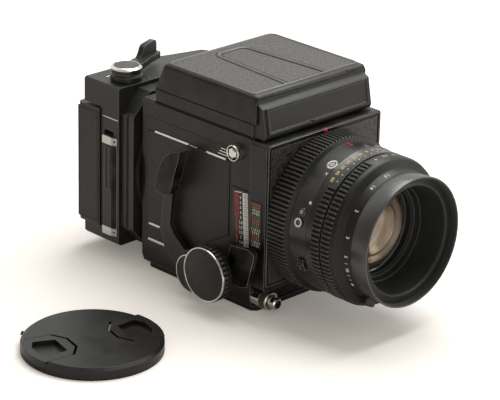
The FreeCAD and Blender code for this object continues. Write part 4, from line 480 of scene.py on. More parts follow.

# Focusing knobs: moulded black plastic with grip ribs on a steel shaft through the body. Each has a
# chromed ring round a leatherette disc in its face, and a small pale grey tick at the end of each grip
# rib is a painted highlight.
# Geometry Nodes sets the ticks, and later the ribs of the lens rings and other repeated marks.


def repeating_tree():
    """Copies of one form, each turned about a pivot and shifted a step further than the last."""
    tree = bpy.data.node_groups.new("repeat_round_or_along", "GeometryNodeTree")
    for name, kind in (("One", "Geometry"), ("Count", "Int"), ("First Turn", "Vector"),
                       ("Turn Step", "Vector"), ("Pivot", "Vector"), ("Shift Step", "Vector"),
                       ("Finish", "Material")):
        tree.interface.new_socket(name, in_out="INPUT", socket_type="NodeSocket" + kind)
    tree.interface.new_socket("Copies", in_out="OUTPUT", socket_type="NodeSocketGeometry")
    given = add_node(tree, "NodeGroupInput").outputs
    row = add_node(tree, "GeometryNodeMeshLine", {"Count": given["Count"], "Offset": (0, 0, 0)})
    copies = add_node(tree, "GeometryNodeInstanceOnPoints", {
        "Points": row.outputs[0], "Instance": given["One"]})
    index = add_node(tree, "GeometryNodeInputIndex").outputs[0]
    stepped = vectors(tree, "SCALE", given["Turn Step"], index)[0]
    turned_copies = add_node(tree, "GeometryNodeRotateInstances", {
        "Instances": copies.outputs[0], "Rotation": vectors(tree, "ADD", stepped, given["First Turn"])[0],
        "Pivot Point": given["Pivot"], "Local Space": False})
    moved = add_node(tree, "GeometryNodeTranslateInstances", {
        "Instances": turned_copies.outputs[0], "Local Space": False,
        "Translation": vectors(tree, "SCALE", given["Shift Step"], index)[0]})
    real = add_node(tree, "GeometryNodeRealizeInstances", {"Geometry": moved.outputs[0]})
    finish = add_node(tree, "GeometryNodeSetMaterial", {
        "Geometry": real.outputs[0], "Material": given["Finish"]})
    add_node(tree, "NodeGroupOutput", {"Copies": finish.outputs[0]})
    return tree


repeat_group = repeating_tree()
repeat_sockets = {item.name: item.identifier for item in repeat_group.interface.items_tree}


def repeat(name, form, material, body, count, first=(0, 0, 0), turn=(0, 0, 0), pivot=(0, 0, 0),
           shift=(0, 0, 0)):
    """A row or ring of copies of a form, in millimetres and degrees, as one plain mesh."""
    one = settled(name + "_one", form)
    piece = set_down(name, one)
    copier = piece.modifiers.new("repeat", "NODES")
    copier.node_group = repeat_group
    for socket, value in (
            ("Count", count), ("First Turn", [radians(angle) for angle in first]),
            ("Turn Step", [radians(angle) for angle in turn]), ("Finish", material),
            ("Pivot", [value * MM for value in pivot]), ("Shift Step", [value * MM for value in shift])):
        copier[repeat_sockets[socket]] = value
    whole = bpy.data.meshes.new_from_object(piece.evaluated_get(bpy.context.evaluated_depsgraph_get()))
    piece.modifiers.clear()
    piece.data = whole
    bpy.data.meshes.remove(one)
    whole.name = name
    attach(piece, body)


knob_plastic = satin_black("moulded_knob_plastic", "#151514", "#45443f", 0.36, 0.3, 0.01)
dress(knob_plastic, "left_focus_knob", "right_focus_knob")
knob_y, knob_z = -33.2, 24.8
knob_centre = (0, knob_y, knob_z)
knob_discs, knob_bands = bmesh.new(), bmesh.new()
for side in (-1, 1):
    turned(knob_discs, [(67.0, 0), (67.0, 16.1), (67.9, 16.1), (68.05, 15.8), (68.15, 0)],
           knob_centre, (side, 0, 0), 96)
    turned(knob_bands, [(67.0, 16.05), (67.0, 17.0), (67.9, 17.0), (68.3, 16.8), (68.3, 16.3),
                        (68.1, 16.05)], knob_centre, (side, 0, 0), 96)
make_piece("knob_leather_discs", knob_discs, fine_vinyl, "focus_drive", "leatherette")
make_piece("knob_face_rings", knob_bands, bright_chrome, "focus_drive", "bright_chrome", "knob_rings")
# This pale grey enamel is painted highlight: glints on the knob ribs and light lines along beads.
pale_highlight_enamel = satin_black("enamel_painted_pale_for_highlights", "#4a4945", "#a3a098", 0.3, 0.5, 0.01)
for name, side in (("left_knob_ticks", -1), ("right_knob_ticks", 1)):
    form = bmesh.new()
    slab(form, rectangle(-0.55, 0.55, 64.2, 66.5), 17.0, 17.32,
         lambda u, v, w: (side * v, knob_y + u, knob_z + w))
    repeat(name, form, pale_highlight_enamel, "focus_drive", 36, turn=(10, 0, 0), pivot=knob_centre)

# Cocking lever: a steel arm in satin black lacquer on a turned hub, with a moulded gloss black grip
# over its upper end. The hub is lacquered too, and its rim is left as a thin bright line.


def make_turned(name, profile, centre, along, steps, material, body, slot, *replaced, bend=30):
    """A piece that is one turned form."""
    form = bmesh.new()
    turned(form, profile, centre, along, steps)
    make_piece(name, form, material, body, slot, *replaced, bend=bend)


def make_lever(name, outline, low, high, put, width, steps, material, body, *replaced):
    """A lever cut from plate, with every sharp edge rounded off."""
    form = bmesh.new()
    slab(form, outline, low, high, put)
    bmesh.ops.recalc_face_normals(form, faces=form.faces)
    sharp = [edge for edge in form.edges if len(edge.link_faces) == 2 and edge.calc_face_angle(0) > 0.5]
    bmesh.ops.bevel(form, geom=sharp, offset=width, offset_type="OFFSET", segments=steps, profile=0.5,
                    affect="EDGES", clamp_overlap=True)
    make_piece(name, form, material, body, "lever_black", *replaced, bend=60)


satin_lacquer = satin_black("satin_black_lacquer_on_steel", "#1c1c1a", "#8a8880", 0.33, 0.8, 0.008,
                            edge=0.6, specular=0.4)
# The gloss lacquer's near-white edge colour is a painted highlight along its edges.
gloss_lacquer = satin_black("gloss_black_lacquer", "#0b0b0a", "#b5b3ac", 0.2, 1.6, 0.008, specular=0.15)
dress(satin_lacquer, "cocking_lever", "cocking_hub")
make_turned("cocking_hub_rim", [
    (59.2, 11.4), (59.2, 12.1), (59.85, 12.1), (60.0, 11.9), (60.0, 11.5), (59.9, 11.4)],
    (0, -12.8, 16.3), (-1, 0, 0), 96, bright_chrome, "cocking", "bright_chrome")
make_lever("cocking_grip", [
    (20.4, 62.6), (17.7, 71.0), (15.6, 77.2), (11.7, 84.2), (5.7, 88.6), (-1.6, 91.35), (-0.5, 85.8),
    (3.3, 73.9), (6.2, 63.2), (9.3, 60.2), (17.2, 60.2)], 52.2, 59.1, lambda u, v, w: (-w, u, v), 0.9, 3,
    gloss_lacquer, "cocking")

# Levers: steel stampings in gloss black lacquer, thick enough to round off at every edge. The focus
# lock lever has a broad flat plate for the thumb.

dress(gloss_lacquer, "focus_lock_lever", "preview_lever", "dark_slide")
make_lever("focus_lock_plate", [
    (-43.4, 43.8), (-58.65, 45.4), (-62.5, 43.7), (-63.0, 41.6), (-57.7, 21.2), (-52.0, 19.3),
    (-44.9, 19.6), (-43.0, 26.0), (-40.8, 32.0)], 53.0, 56.25, lambda u, v, w: (-w, u, v), 0.45, 2,
    gloss_lacquer, "focus_lock")

# Lens standard: the casting's front is covered in coarse vinyl inside a raised bead. A bright red
# enamel bead in its top edge is the mark for fitting a lens, and a scale of exposure factors is
# printed on its left side, in coloured rows of plain figures.

forward = (0, -1, 0)
form = bmesh.new()
bead_x, bead_low, bead_high, bead_round, standard_front = 45.0, 22.0, 107.0, 1.6, -63.7
piping(form, [
    (x + bead_round * cos(turn), standard_front, z + bead_round * sin(turn))
    for x, z, start in ((-bead_x, bead_high, 180), (bead_x, bead_high, 90), (bead_x, bead_low, 0),
                        (-bead_x, bead_low, -90))
    for turn in (radians(start - step) for step in range(0, 91, 30))], 0.9, 0.6, forward, closed=True)
# The bead round the standard's front is painted pale grey as a painted highlight along it.
make_piece("standard_bead", form, pale_highlight_enamel, "front_standard", "casing_black")
red_enamel = satin_black("red_enamel", "#b3162a", "#d8505c", 0.12, 1.5, 0.004, edge=0.3)
make_turned("lens_fitting_mark", [
    (63.0, 0), (63.0, 1.5), (63.9, 1.5), (64.5, 1.25), (64.9, 0.8), (65.05, 0.3), (65.07, 0)],
    (0, 0, 107.9), forward, 32, red_enamel, "front_standard", "lens_black")
factor_forms = {colour: bmesh.new() for colour in ("orange", "white", "green")}
factor_words = ("1 1.5 2 3", "2 3 4 6", "4 5 6 8", "6 7 8 9")
for row, colour in enumerate((
        "orange", "orange", "white", "white", "green", "orange", "orange", "green", "white", "white",
        "orange", "orange", "white", "white")):
    printed(factor_forms[colour], factor_words[row % 4], 1.5, on_left_side(-56.4, 71.5 - row * 2.0, 48.7),
            0.03)
for colour, form in factor_forms.items():
    make_piece("exposure_factors_" + colour, form, inks[colour], "front_standard", "scale_plates")

# Shutter release: a chromed foot, a dark knurled lock collar with a bright front ring, and a small
# chromed plunger with a threaded mouth for a cable.

release_axis = (-40.0, 0, 8.9)
dress(satin_lacquer, "release_collar")
make_turned("release_collar_ring", [
    (61.6, 4.2), (61.6, 5.65), (62.2, 5.65), (62.5, 5.3), (62.5, 4.4), (62.3, 4.2)], release_axis, forward,
    48, bright_chrome, "release_lock", "bright_chrome")
make_turned("release_mouth", [
    (67.0, 1.2), (67.0, 2.6), (68.0, 2.6), (68.05, 2.4), (68.05, 1.2)], release_axis, forward, 32,
    flat_black, "release", "inner_black")

# The lens is turned aluminium in a black anodised satin, with a faint warm cast where the light rakes
# it. The bayonet ring, next to the body, has a hundred and ten grip ribs, painted pale at their ends,
# partly as rubbed bare metal and partly as a painted highlight.

lens_axis = 59.1
lens_pivot = (0, 0, lens_axis)
anodised = satin_black("satin_black_anodised_aluminium", "#262522", "#6a6861", 0.26, 0.2, 0.006, edge=0.35,
                       specular=1.0)
ring_black = satin_black("dull_black_anodised_rings", "#141412", "#5c5a54", 0.4, 0.25, 0.006, edge=0.3,
                         specular=0.35)
# The ribs' pale ends are partly rubbed bare metal and partly a painted highlight.
ribs_rubbed_and_highlit = satin_black("anodised_ribs_rubbed_and_highlit_at_the_edges", "#2e2c28", "#99968d", 0.34, 0.4, 0.006,
                          edge=0.25)


def rib(rear, front, root, tip, wide, narrow):
    """One grip rib at the top of a lens ring, with sloping flanks and a sloping front end."""
    form = bmesh.new()
    stitch(form, [
        [form.verts.new((x, -y, lens_axis + radius)) for x, y in rectangle(-half, half, low, high)]
        for radius, half, low, high in (
            (root, wide, rear, front + 0.3), (tip, narrow, rear + 0.3, front - 0.4))])
    return form


def arc(start, end, steps):
    """Angles in radians along an arc in degrees; a full circle leaves out its end."""
    count = steps if end - start >= 360 else steps + 1
    return [radians(start + (end - start) * step / steps) for step in range(count)]


def groove_floor(name, body, start, end, rear, front, radius):
    """The dull floor between the ribs of a ring, over an arc from the top towards the left."""
    form = bmesh.new()
    section = rectangle(radius - 0.5, radius, rear, front)
    stitch(form, [[form.verts.new((-sin(here) * far, -ahead, lens_axis + cos(here) * far))
                   for far, ahead in section] for here in arc(start, end, 96)], end - start >= 360)
    make_piece(name, form, flat_black, body, "lens_black")


make_turned("bayonet_ring_drum", [
    (64.4, 43.1), (64.4, 47.2), (64.8, 47.5), (78.7, 47.5), (79.9, 46.2), (80.5, 45.6), (80.5, 43.1)],
    lens_pivot, forward, 192, ring_black, "bayonet", "lens_black", "bayonet_ring")
rib_count = 110
repeat("bayonet_ring_ribs", rib(65.1, 78.4, 47.3, 48.45, 0.7, 0.42), ribs_rubbed_and_highlit, "bayonet",
       rib_count, turn=(0, 360 / rib_count, 0), pivot=lens_pivot)
groove_floor("bayonet_ring_grooves", "bayonet", 0, 360, 64.9, 78.6, 47.56)

# Shutter housing: a plain drum behind the control rings. Printed on it are a red index line, a white
# double-exposure target, a small cross and a square dot. A flash socket with a white ring and a
# small turned lever boss stand on its left side.

housing_enamel = satin_black("satin_anodised_housing", "#171614", "#55534d", 0.24, 0.3, 0.004, edge=0.35,
                             specular=0.7)
dress(housing_enamel, "shutter_housing")


def on_drum(angle, ahead, radius, slope=0.0):
    """Places print on the lens: u round it, v forward; angles in degrees run from the top to the left."""
    def put(u, v, w):
        here = radians(angle) + u / radius
        far = radius - slope * v + w
        return (-sin(here) * far, -(ahead + v), lens_axis + cos(here) * far)
    return put


def make_slab(name, outline, low, high, put, material, body, slot, shrink=0.0):
    """A piece that is one plate."""
    form = bmesh.new()
    slab(form, outline, low, high, put, shrink)
    make_piece(name, form, material, body, slot)


def ring_mark(form, inner, outer, put, start=0, end=360):
    """A flat printed ring, or an arc of one, between two radii."""
    section = rectangle(inner, outer, -0.05, 0.06)
    stitch(form, [[form.verts.new(put(cos(turn) * radius, sin(turn) * radius, w))
                   for radius, w in section] for turn in arc(start, end, max(4, (end - start) // 12))],
           end - start >= 360)


def boss(form, angle, ahead, radius, profile, steps=40):
    """A turned boss standing on the lens drum; its profile is (height, radius)."""
    out = Vector((-sin(radians(angle)), 0, cos(radians(angle))))
    turned(form, profile, Vector((0, -ahead, lens_axis)) + out * radius, out, steps)


make_slab("lens_index_line", oblong(0.8, 2.3), -0.1, 0.3, on_drum(0, 83.4, 45.69), red_enamel,
          "front_standard", "lens_black", shrink=0.15)
housing_radius, socket_angle, socket_ahead = 45.7, 77.6, 87.6
marks = bmesh.new()
target = on_drum(27.6, 90.3, housing_radius)
for start, end in ((-45, 135), (150, 300)):
    ring_mark(marks, 2.3, 3.4, target, start, end)
ring_mark(marks, 0.9, 1.5, target)
ring_mark(marks, 0.0001, 0.45, target)
for lean in (-45, 45):
    tilt = Matrix.Rotation(radians(lean), 2)
    slab(marks, [tilt @ Vector(corner) for corner in oblong(1.2, 0.2)], -0.05, 0.06,
         on_drum(36.6, 91.6, housing_radius))
slab(marks, oblong(0.85, 0.85), -0.05, 0.08, on_drum(61.2, 91.8, housing_radius))
ring_mark(marks, 1.75, 2.75, on_drum(socket_angle, socket_ahead, 46.6))
make_piece("housing_marks", marks, inks["white"], "front_standard", "lens_black", bend=20)
form = bmesh.new()
boss(form, socket_angle, socket_ahead, 45.0, [
    (-0.5, 0.9), (-0.5, 3.0), (1.4, 3.0), (1.58, 2.85), (1.58, 1.6), (0.9, 1.4), (0.9, 0.9)])
boss(form, 69.5, 88.6, 45.0, [(-0.5, 0), (-0.5, 2.7), (1.1, 2.7), (1.4, 2.4), (1.5, 0)])
make_piece("flash_socket", form, anodised, "front_standard", "lens_black")
form = bmesh.new()
boss(form, socket_angle, socket_ahead, 45.0, [
    (-0.4, 0), (-0.4, 0.5), (1.3, 0.5), (1.5, 0.3), (1.55, 0)], 16)
boss(form, 69.5, 88.6, 46.2, [(0, 0), (0, 1.3), (0.9, 1.1), (1.1, 0.7), (1.15, 0)], 20)
make_piece("flash_socket_pin_and_screw", form, satin_steel, "front_standard", "steel")

# Control rings: the shutter-speed ring and, before it, the aperture ring. Each is smooth over the
# top, where its figures are printed, and ribbed round the rest. Speeds and apertures are yellow, with
# white dots for the speeds' click stops.


def control_ring(ring, body, node, finish, first, ribs, grooves, profile):
    """A turning ring with its ribs and the floor between them, from an angle in degrees on the left."""
    make_turned(ring + "_drum", profile, lens_pivot, forward, 160, finish, body, "lens_black", node)
    repeat(ring + "_ribs", rib(*ribs, 45.1, 46.15, 0.75, 0.45), ribs_rubbed_and_highlit, body, 75,
           first=(0, -first, 0), turn=(0, -3.6, 0), pivot=lens_pivot)
    groove_floor(ring + "_grooves", body, first - 1.5, first + 268, *grooves, 45.36)


control_ring(
    "speed_ring", "speed_ring", "shutter_speed_ring", housing_enamel, 45, (98.2, 104.0), (97.9, 104.25),
    [(93.45, 41.1), (93.45, 45.5), (93.6, 45.5), (94.2, 45.3), (104.3, 45.3), (104.6, 44.2),
     (105.2, 44.2), (105.2, 41.1)])
figure_radius = 45.33
speeds, clicks, apertures = (bmesh.new() for _ in range(3))
for row, words in enumerate("60 45 30 20 15 10 8 4 2 1".split()):
    angle = 39.0 - row * 6.4
    printed(speeds, words, 2.3, on_drum(angle, 97.6, figure_radius), 0.03)
    slab(clicks, oblong(0.3, 0.45), -0.05, 0.06, on_drum(angle, 101.6, 45.3))
make_piece("shutter_speed_figures", speeds, inks["yellow"], "speed_ring", "lens_black", bend=20)
make_piece("shutter_click_dots", clicks, inks["white"], "speed_ring", "lens_black")
control_ring(
    "aperture_ring", "iris_ring", "aperture_ring", ring_black, 15, (106.4, 112.4), (106.2, 112.6),
    [(105.5, 41.1), (105.5, 44.2), (105.8, 44.2), (106.1, 45.3), (113.2, 45.3), (114.9, 44.4),
     (114.9, 41.1)])
for row, words in enumerate("4 5.6 8 11 16 22 32".split()):
    printed(apertures, words, 2.3, on_drum(6.5 - row * 9.5, 109.4, figure_radius), 0.03)
make_piece("aperture_figures", apertures, inks["yellow"], "iris_ring", "lens_black", bend=20)

# Distance ring: a cone that steps down to a narrow band with white distance figures, and a black
# moulded tab at its foot to turn it by.


def on_cone(angle):
    """Places print on the distance ring's narrow band."""
    return on_drum(angle, 120.2, 39.35, slope=0.22)


dress(ring_black, "distance_ring")
form = bmesh.new()
for angle, words in ((10.5, "1.3"), (28.5, "1.6"), (53.5, "2"), (77, "3"), (94, "5"), (107, "10")):
    printed(form, words, 2.1, on_cone(angle), 0.03)
lazy_eight = on_cone(124)
printed(form, "8", 2.4, lambda u, v, w: lazy_eight(v, u, w))
for angle in (100.5, 113, 118):
    slab(form, oblong(0.15, 0.9), -0.05, 0.05, on_cone(angle))
make_piece("distance_figures_on_lens", form, inks["white"], "scale_ring", "lens_black", bend=20)
make_slab("distance_tab", [
    (-4.2, -2.0), (-3.6, -2.6), (3.6, -2.6), (4.2, -2.0), (4.2, 2.0), (3.6, 2.6), (-3.6, 2.6), (-4.2, 2.0)],
    -0.6, 4.4, on_drum(152, 120.9, 39.6), knob_plastic, "scale_ring", "lens_black", shrink=0.8)

# Front barrel: an anodised shell with a fine filter thread in its mouth. Inside it a matt black
# baffle falls in steps to the front glass, so that no light scatters into the picture.

seat_black = satin_black("grey_black_seat_enamel", "#2b2a27", "#5c5a54", 0.45, 0.3, 0.006, edge=0.3)
baffle_black = satin_black("matt_black_baffle_paint", "#20211e", "#2b2c28", 0.55, 0.25, 0.01, edge=0.3)
make_turned("front_barrel_shell", [
    (123.3, 36.6), (123.3, 38.7), (135.7, 39.75), (136.2, 39.6), (136.3, 39.3), (136.3, 39.0),
    (136.1, 38.8), (131.0, 38.8), (131.0, 36.6)], lens_pivot, forward, 192, anodised, "front_standard",
    "lens_black", "front_barrel", bend=40)
make_turned("filter_seat", [
    (131.0, 36.4), (131.0, 38.2), (131.7, 38.2), (131.8, 34.6), (132.3, 34.1), (132.3, 33.5), (131.6, 33.1),
    (131.0, 33.4)], lens_pivot, forward, 192, seat_black, "front_standard", "lens_black", bend=50)
thread_pitch = 0.75
thread = [(ahead - turn * thread_pitch, radius) for turn in range(6)
          for ahead, radius in ((135.8, 38.6), (135.45, 38.1))]
make_turned("filter_thread", [
    (136.05, 38.85), (136.05, 38.6)] + thread + [(131.75, 38.2), (131.75, 38.85)], lens_pivot, forward, 160,
    baffle_black, "front_standard", "lens_black", bend=20)
make_turned("front_baffle", [
    (131.3, 36.3), (131.3, 33.3), (131.0, 33.0), (115.2, 30.4), (114.9, 29.7), (113.6, 29.5), (111.6, 28.9),
    (111.2, 28.0), (110.1, 27.6), (110.0, 26.9), (109.7, 26.9), (109.6, 27.4), (103.6, 27.4), (103.5, 24.2),
    (98.0, 24.2), (98.0, 36.3)], lens_pivot, forward, 160, baffle_black, "front_standard", "lens_black")

# Glass: polished elements with an amber anti-reflection coating. Behind the front one two more
# coated, dished faces catch the light as overlapping discs.

amber_glass = bpy.data.materials.new("amber_coated_glass")
tree = cleared(amber_glass)
surfaced(amber_glass, {
    "Base Color": linear("#f5efe6"), "Transmission Weight": 1.0, "IOR": 1.5,
    "Roughness": remap(tree, noise(tree, 90.0).outputs[0], 0.0, 1.0, 0.02, 0.04)})
dress(amber_glass, "front_element", "rear_element", "magnifier_lens")
bronze_coating = plated("bronze_tinted_coating", "#8a8077", 0.3, 60.0, edge=0.1)
pale_coating = plated("pale_bronze_coating", "#a2978b", 0.3, 60.0, edge=0.1)
for name, rim, rear, dish, coating in (
        ("second_element_face", 24.0, 98.2, 46.0, bronze_coating),
        ("third_element_face", 17.5, 98.9, 30.0, pale_coating)):
    face = [(rear + 0.5 + (rim * step / 12) ** 2 / (2 * dish), rim * step / 12) for step in range(13)]
    make_turned(name, [(rear, 0), (rear, rim)] + face[::-1], lens_pivot, forward, 96, coating,
                "front_standard", "lens_glass", bend=60)

# Mirror and bellows. The mirror is plate glass silvered on its front. The bellows is thin leather cloth
# in fourteen pleats, glued to the front of the body and to the inside of the standard; on the camera it
# opens out between them as the lens runs forward, but here it is one fixed mesh that rides on no body.

silvering = plated("front_silvered_glass", "#e4e6e6", 0.02, 3.0)
dress(silvering, "mirror_glass")
bellows_rear, bellows_front, bellows_half, pleats = -50.25, -59.65, 38.3, 14
form = bmesh.new()
rows = []
for skin in (0.0, 0.9):
    stretch = []
    for step in range(2 * pleats + 1):
        half = bellows_half - skin - 2.8 * (step % 2)
        corner = half - 3.0
        y = bellows_rear + (bellows_front - bellows_rear) * step / (2 * pleats)
        stretch.append([form.verts.new((x, y, lens_axis + z)) for x, z in (
            (half, corner), (corner, half), (-corner, half), (-half, corner),
            (-half, -corner), (-corner, -half), (corner, -half), (half, -corner))])
    rows += stretch[::-1] if skin else stretch
stitch(form, rows, closed=True)
bellows = make_piece("pleated_bellows", form, fine_vinyl, None, "bellows_leather", "bellows", bend=20)
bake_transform(bellows)

# Hood: the folding finder's base has a bare nameplate on its leaning front, black-brushed and set in
# a raised frame, with a small catch at the bottom of the frame.

brushed_plate = satin_black("black_brushed_nameplate", "#262523", "#4a4945", 0.4, 0.5, 0.008, edge=0.3)
plate_foot = Vector((0, -59.0, 112.5))
plate_rise = Vector((0, 3.0, 16.5)).normalized()
plate_out = Vector((0, -16.5, 3.0)).normalized()


def on_nameplate(u, v, w):
    """Places a point on the leaning front: u to the right, v up the slope, w out of it."""
    return Vector((u, 0, 0)) + plate_foot + plate_rise * v + plate_out * w


make_slab("bare_nameplate", rectangle(-40.6, 40.6, 2.2, 15.4), -0.3, 0.12, on_nameplate, brushed_plate,
          "camera_body", "casing_black", shrink=0.08)
# The thin inner line round the nameplate is painted pale grey as a painted highlight on the frame's edge.
for name, half, low, high, level, width, height, finish in (
        ("nameplate_frame", 41.7, 1.3, 16.1, 0, 1.7, 0.9, baked_enamel),
        ("nameplate_line", 40.5, 2.4, 15.1, 0.1, 0.55, 0.35, pale_highlight_enamel)):
    form = bmesh.new()
    piping(form, [on_nameplate(u, v, level) for u, v in rectangle(-half, half, low, high)], width, height,
           plate_out, closed=True)
    make_piece(name, form, finish, "camera_body", "casing_black")
make_slab("hood_catch", [
    (-8.4, 0.4), (-3.4, 0.4), (-4.4, 2.6), (-7.4, 2.6)], 0.2, 1.1, on_nameplate, gloss_lacquer,
    "camera_body", "lever_black", shrink=0.3)

# Hood lid: pressed from sheet, open at the front, with rounded upper edges and a leaning rear face.
# A long leatherette panel lies in the middle of its top and another goes round it; their vinyl is
# painted lighter than the camera's other leatherette, as painted light from above. Between them and
# round them the lid stands up as rounded piping, painted pale grey, partly as rubbed paint and partly
# as a painted highlight. Thin flat black strips along its foot, the foot of the hood and the joint
# with the lens standard are painted shadow in those joints.

piping_rubbed_and_highlit = satin_black("enamel_rubbed_and_highlit_on_the_piping", "#5f5d57", "#a3a098", 0.3, 0.5, 0.01)
# The lid's vinyl is a lighter copy of the black vinyl: painted light from above on top faces.
lid_vinyl_painted_lit = leatherette("lid_pebbled_vinyl_painted_lit", "#524f4a", "#161513", 1.4, 0.17, 0.42, 0.6)
lid_low, lid_level, lid_inner = 118.95, 136.1, 44.4
upward = (0, 0, 1)
form = bmesh.new()
rows = []
for y, outer_top, inner_top in (
        (-51.95, 134.0, 132.4), (-51.5, 134.9, 133.3), (-50.6, 135.6, 134.0), (-49.4, 136.0, 134.4),
        (-48.2, lid_level, 134.5), (24.4, lid_level, 134.5), (25.4, lid_level, 133.5),
        (26.3, 135.9, 131.8), (27.1, 135.3, 130.0), (28.0, 133.4, 128.1), (32.3, 123.8, lid_low),
        (33.8, 120.2, lid_low), (33.9, 119.4, lid_low)):
    curve = min(2.4, outer_top - lid_low - 0.1)
    side = [(body_side - curve + curve * cos(radians(turn)),
             outer_top - curve + curve * sin(radians(turn))) for turn in (0, 22, 45, 68, 90)]
    inner_side = ([(lid_inner, lid_low), (lid_inner, inner_top - 0.8), (lid_inner - 1.0, inner_top)]
                  if inner_top > lid_low else [(lid_inner, lid_low)] * 3)
    outline = ([(-body_side, lid_low)] + [(-x, z) for x, z in side] + side[::-1] + [(body_side, lid_low)]
               + inner_side + [(-x, z) for x, z in inner_side[::-1]])
    rows.append([form.verts.new((x, y, z)) for x, z in outline])
stitch(form, rows)
bmesh.ops.dissolve_degenerate(form, dist=0.001, edges=form.edges)
make_piece("pressed_lid", form, baked_enamel, "lid", "casing_black", "hood_lid", bend=35)


def both_halves(path, *height):
    """A path on the right half of the lid, carried on as its mirror image on the left half."""
    return [(x, y, *height) for x, y in path] + [(-x, y, *height) for x, y in path[::-1]]


def lying_flat(u, v, w):
    """Places a point on a level face."""
    return (u, v, w)


form = bmesh.new()
panel_low, panel_top = 136.0, 136.45
slab(form, both_halves([(14.4, -45.6), (10.4, 12.4), (9.2, 15.0), (7.0, 16.4)]), panel_low, panel_top,
     lying_flat, shrink=0.3)
side_panel = [(18.6, -46.2), (40.6, -46.2), (42.0, -44.8), (42.0, 21.0), (41.2, 23.2), (39.2, 24.2),
              (0.0, 24.2), (0.0, 20.2), (8.4, 20.2), (12.6, 17.6), (14.3, 13.6)]
for side in (-1, 1):
    slab(form, side_panel, panel_low, panel_top, lambda u, v, w: (side * u, v, w))
make_piece("lid_leather_panels", form, lid_vinyl_painted_lit, "lid", "leatherette", "lid_leather")
form = bmesh.new()
piping(form, both_halves([(16.6, -46.6), (12.3, 13.2), (11.0, 16.2), (7.8, 18.3)], lid_level),
       2.5, 0.9, upward)
piping(form, both_halves([(41.6, -47.3), (43.1, -45.8), (43.1, 21.8), (42.0, 24.2), (39.8, 25.2)],
                         lid_level - 0.1), 2.0, 0.85, upward, closed=True)
make_piece("lid_piping", form, piping_rubbed_and_highlit, "lid", "casing_black")
# Flat black strips: painted shadow in the joints at the lid's foot, the hood's foot and the standard.
form = bmesh.new()
for side in (-1, 1):
    for x, foot, head, width, height in ((45.9, (-51.5, 118.6), (33.9, 118.6), 1.1, 0.25),
                                         (45.8, (-49.0, 110.0), (34.0, 110.0), 1.1, 0.45),
                                         (45.9, (-49.2, 18.0), (-49.2, 109.0), 1.0, 0.25)):
        piping(form, [(side * x, *foot), (side * x, *head)], width, height, (side, 0, 0))
make_piece("joint_painted_shadows", form, flat_black, "camera_body", "inner_black")

# Film back: adapter, holder and cover are moulded in glass-filled nylon with a fine spark-eroded
# grain, and so are the spools. The cover's sides carry leatherette in a raised border. The latch has a
# lacquered bar with bright bevelled caps, each held by a dark screw.

moulded_nylon = satin_black("moulded_black_nylon", "#191917", "#7d7b74", 0.42, 0.28, 0.014)
dress(moulded_nylon, "adapter_plate", "film_holder", "rear_cover", "latch_bar", "takeup_spool",
      "supply_spool")
panels, borders = bmesh.new(), bmesh.new()
for side in (-1, 1):
    rear, front = 95.4, 78.9 if side < 0 else 80.0
    slab(panels, rectangle(front, rear, 20.6, 92.4), 53.0, 53.5, lambda u, v, w: (side * w, u, v),
         shrink=0.12)
    piping(borders, [(side * 53.15, y, z) for y, z in rectangle(front - 0.6, rear + 0.6, 20.0, 93.0)],
           0.9, 0.55, (side, 0, 0), closed=True)
make_piece("cover_side_leather", panels, fine_vinyl, "cover", "leatherette")
make_piece("cover_side_borders", borders, moulded_nylon, "cover", "back_plastic")
latch_nose = [(-53.75, 66.0), (-53.75, 65.0), (-52.3, 61.6), (-52.05, 61.6), (-52.05, 66.0)]
caps = bmesh.new()
for low, high in ((14.8, 19.6), (75.0, 79.8)):
    slab(caps, latch_nose, low, high, lying_flat)
make_piece("latch_cap_noses", caps, satin_steel, "latch", "bright_chrome")
make_slab("latch_bar_nose", [
    (x + 0.25, y) for x, y in latch_nose[:3]] + latch_nose[3:], 19.9, 74.7, lying_flat, gloss_lacquer,
    "latch", "lever_black")
form = bmesh.new()
turned(form, [(-0.2, 0), (-0.2, 0.6), (0.15, 0.6), (0.25, 0.4), (0.3, 0)], (-53.0, 63.4, 17.2),
       (-0.92, -0.39, 0), 16)
repeat("latch_cap_screws", form, flat_black, "latch", 2, shift=(0, 0, 60.2))
# Thin chromed beads along edges of the film back and deck stand in for edge highlights: painted highlights.
form = bmesh.new()
for foot, head, width, up in (
        ((-52.0, 75.0, 91.6), (-52.0, 60.9, 91.6), 0.7, (-1, 0, 0)),
        ((-43.4, 81.6, 112.45), (-39.2, 81.6, 112.45), 0.8, upward),
        ((-24.8, 69.4, 112.45), (-24.8, 62.6, 112.45), 0.8, upward)):
    piping(form, [foot, head], width, 0.4, up)
make_piece("film_back_painted_highlight_lines", form, bright_chrome, "film_back", "bright_chrome")

# Film advance: a lacquered arm with a rounded thumb tab, on a hub whose broad chromed ring holds a
# leatherette disc.

wind_centre = (-36.3, 70.9, 0)
wind_turn = radians(16.0)


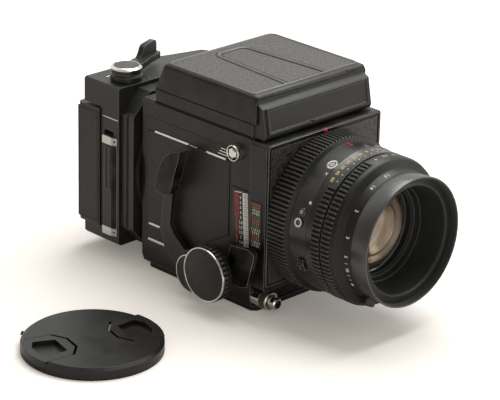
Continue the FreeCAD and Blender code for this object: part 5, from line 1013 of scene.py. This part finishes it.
def on_wind_arm(far, across, high):
    """Places a point on the advance arm: far along it from the hub, across it to the rear, and up."""
    return (wind_centre[0] + far * cos(wind_turn) - across * sin(wind_turn),
            wind_centre[1] + far * sin(wind_turn) + across * cos(wind_turn), high)


make_lever("wind_arm", [
    (0, -6.4), (10, -5.6), (24, -3.6), (34.6, -3.2), (36.0, -1.8), (36.0, 2.4), (34.8, 3.9), (0, 4.2)],
    117.05, 120.9, on_wind_arm, 0.9, 2, satin_lacquer, "winder", "wind_lever")
make_lever("wind_thumb_tab", [
    (15.0, 118.2), (15.2, 120.2), (17.6, 121.4), (19.4, 123.4), (20.8, 126.2), (22.8, 127.9),
    (33.6, 128.45), (35.2, 127.5), (35.8, 125.6), (35.9, 118.2)],
    0.4, 4.1, lambda u, v, w: on_wind_arm(u, w, v), 1.0, 3, satin_lacquer, "winder")
make_turned("wind_hub", [
    (112.8, 0), (112.8, 9.7), (113.1, 10.0), (116.0, 10.0), (116.6, 9.3), (117.4, 9.0), (117.6, 9.4),
    (120.3, 9.4), (120.3, 0)], wind_centre, upward, 64, satin_lacquer, "winder", "lever_black")
make_turned("wind_ring", [
    (120.2, 7.7), (120.2, 9.7), (120.8, 9.7), (121.6, 8.9), (121.95, 8.2), (121.8, 7.8)], wind_centre,
    upward, 64, bright_chrome, "winder", "bright_chrome")
# The disc's vinyl is painted lighter, as painted light from above, like the lid's.
make_turned("wind_leather_disc", [
    (120.2, 0), (120.2, 7.75), (121.85, 7.75), (122.1, 6.8), (122.2, 0)], wind_centre, upward, 48,
    lid_vinyl_painted_lit, "winder", "leatherette")

# Lens cap: moulded in satin black with two sprung pinch grips, lying beside the camera. A small
# moulding gate is let into its rim.

cap_plastic = satin_black("moulded_cap_plastic", "#1c1b19", "#3f3d39", 0.36, 0.22, 0.012, edge=0.35,
                          specular=0.35)
dress(cap_plastic, "cap_shell", "cap_grip_left", "cap_grip_right")
make_slab("cap_gate", [
    (-176.5, 3.4), (-172.9, 6.4), (-173.7, 7.4), (-177.3, 4.4)], 6.9, 7.2, lying_flat, flat_black, "cap",
    "cap_plastic")
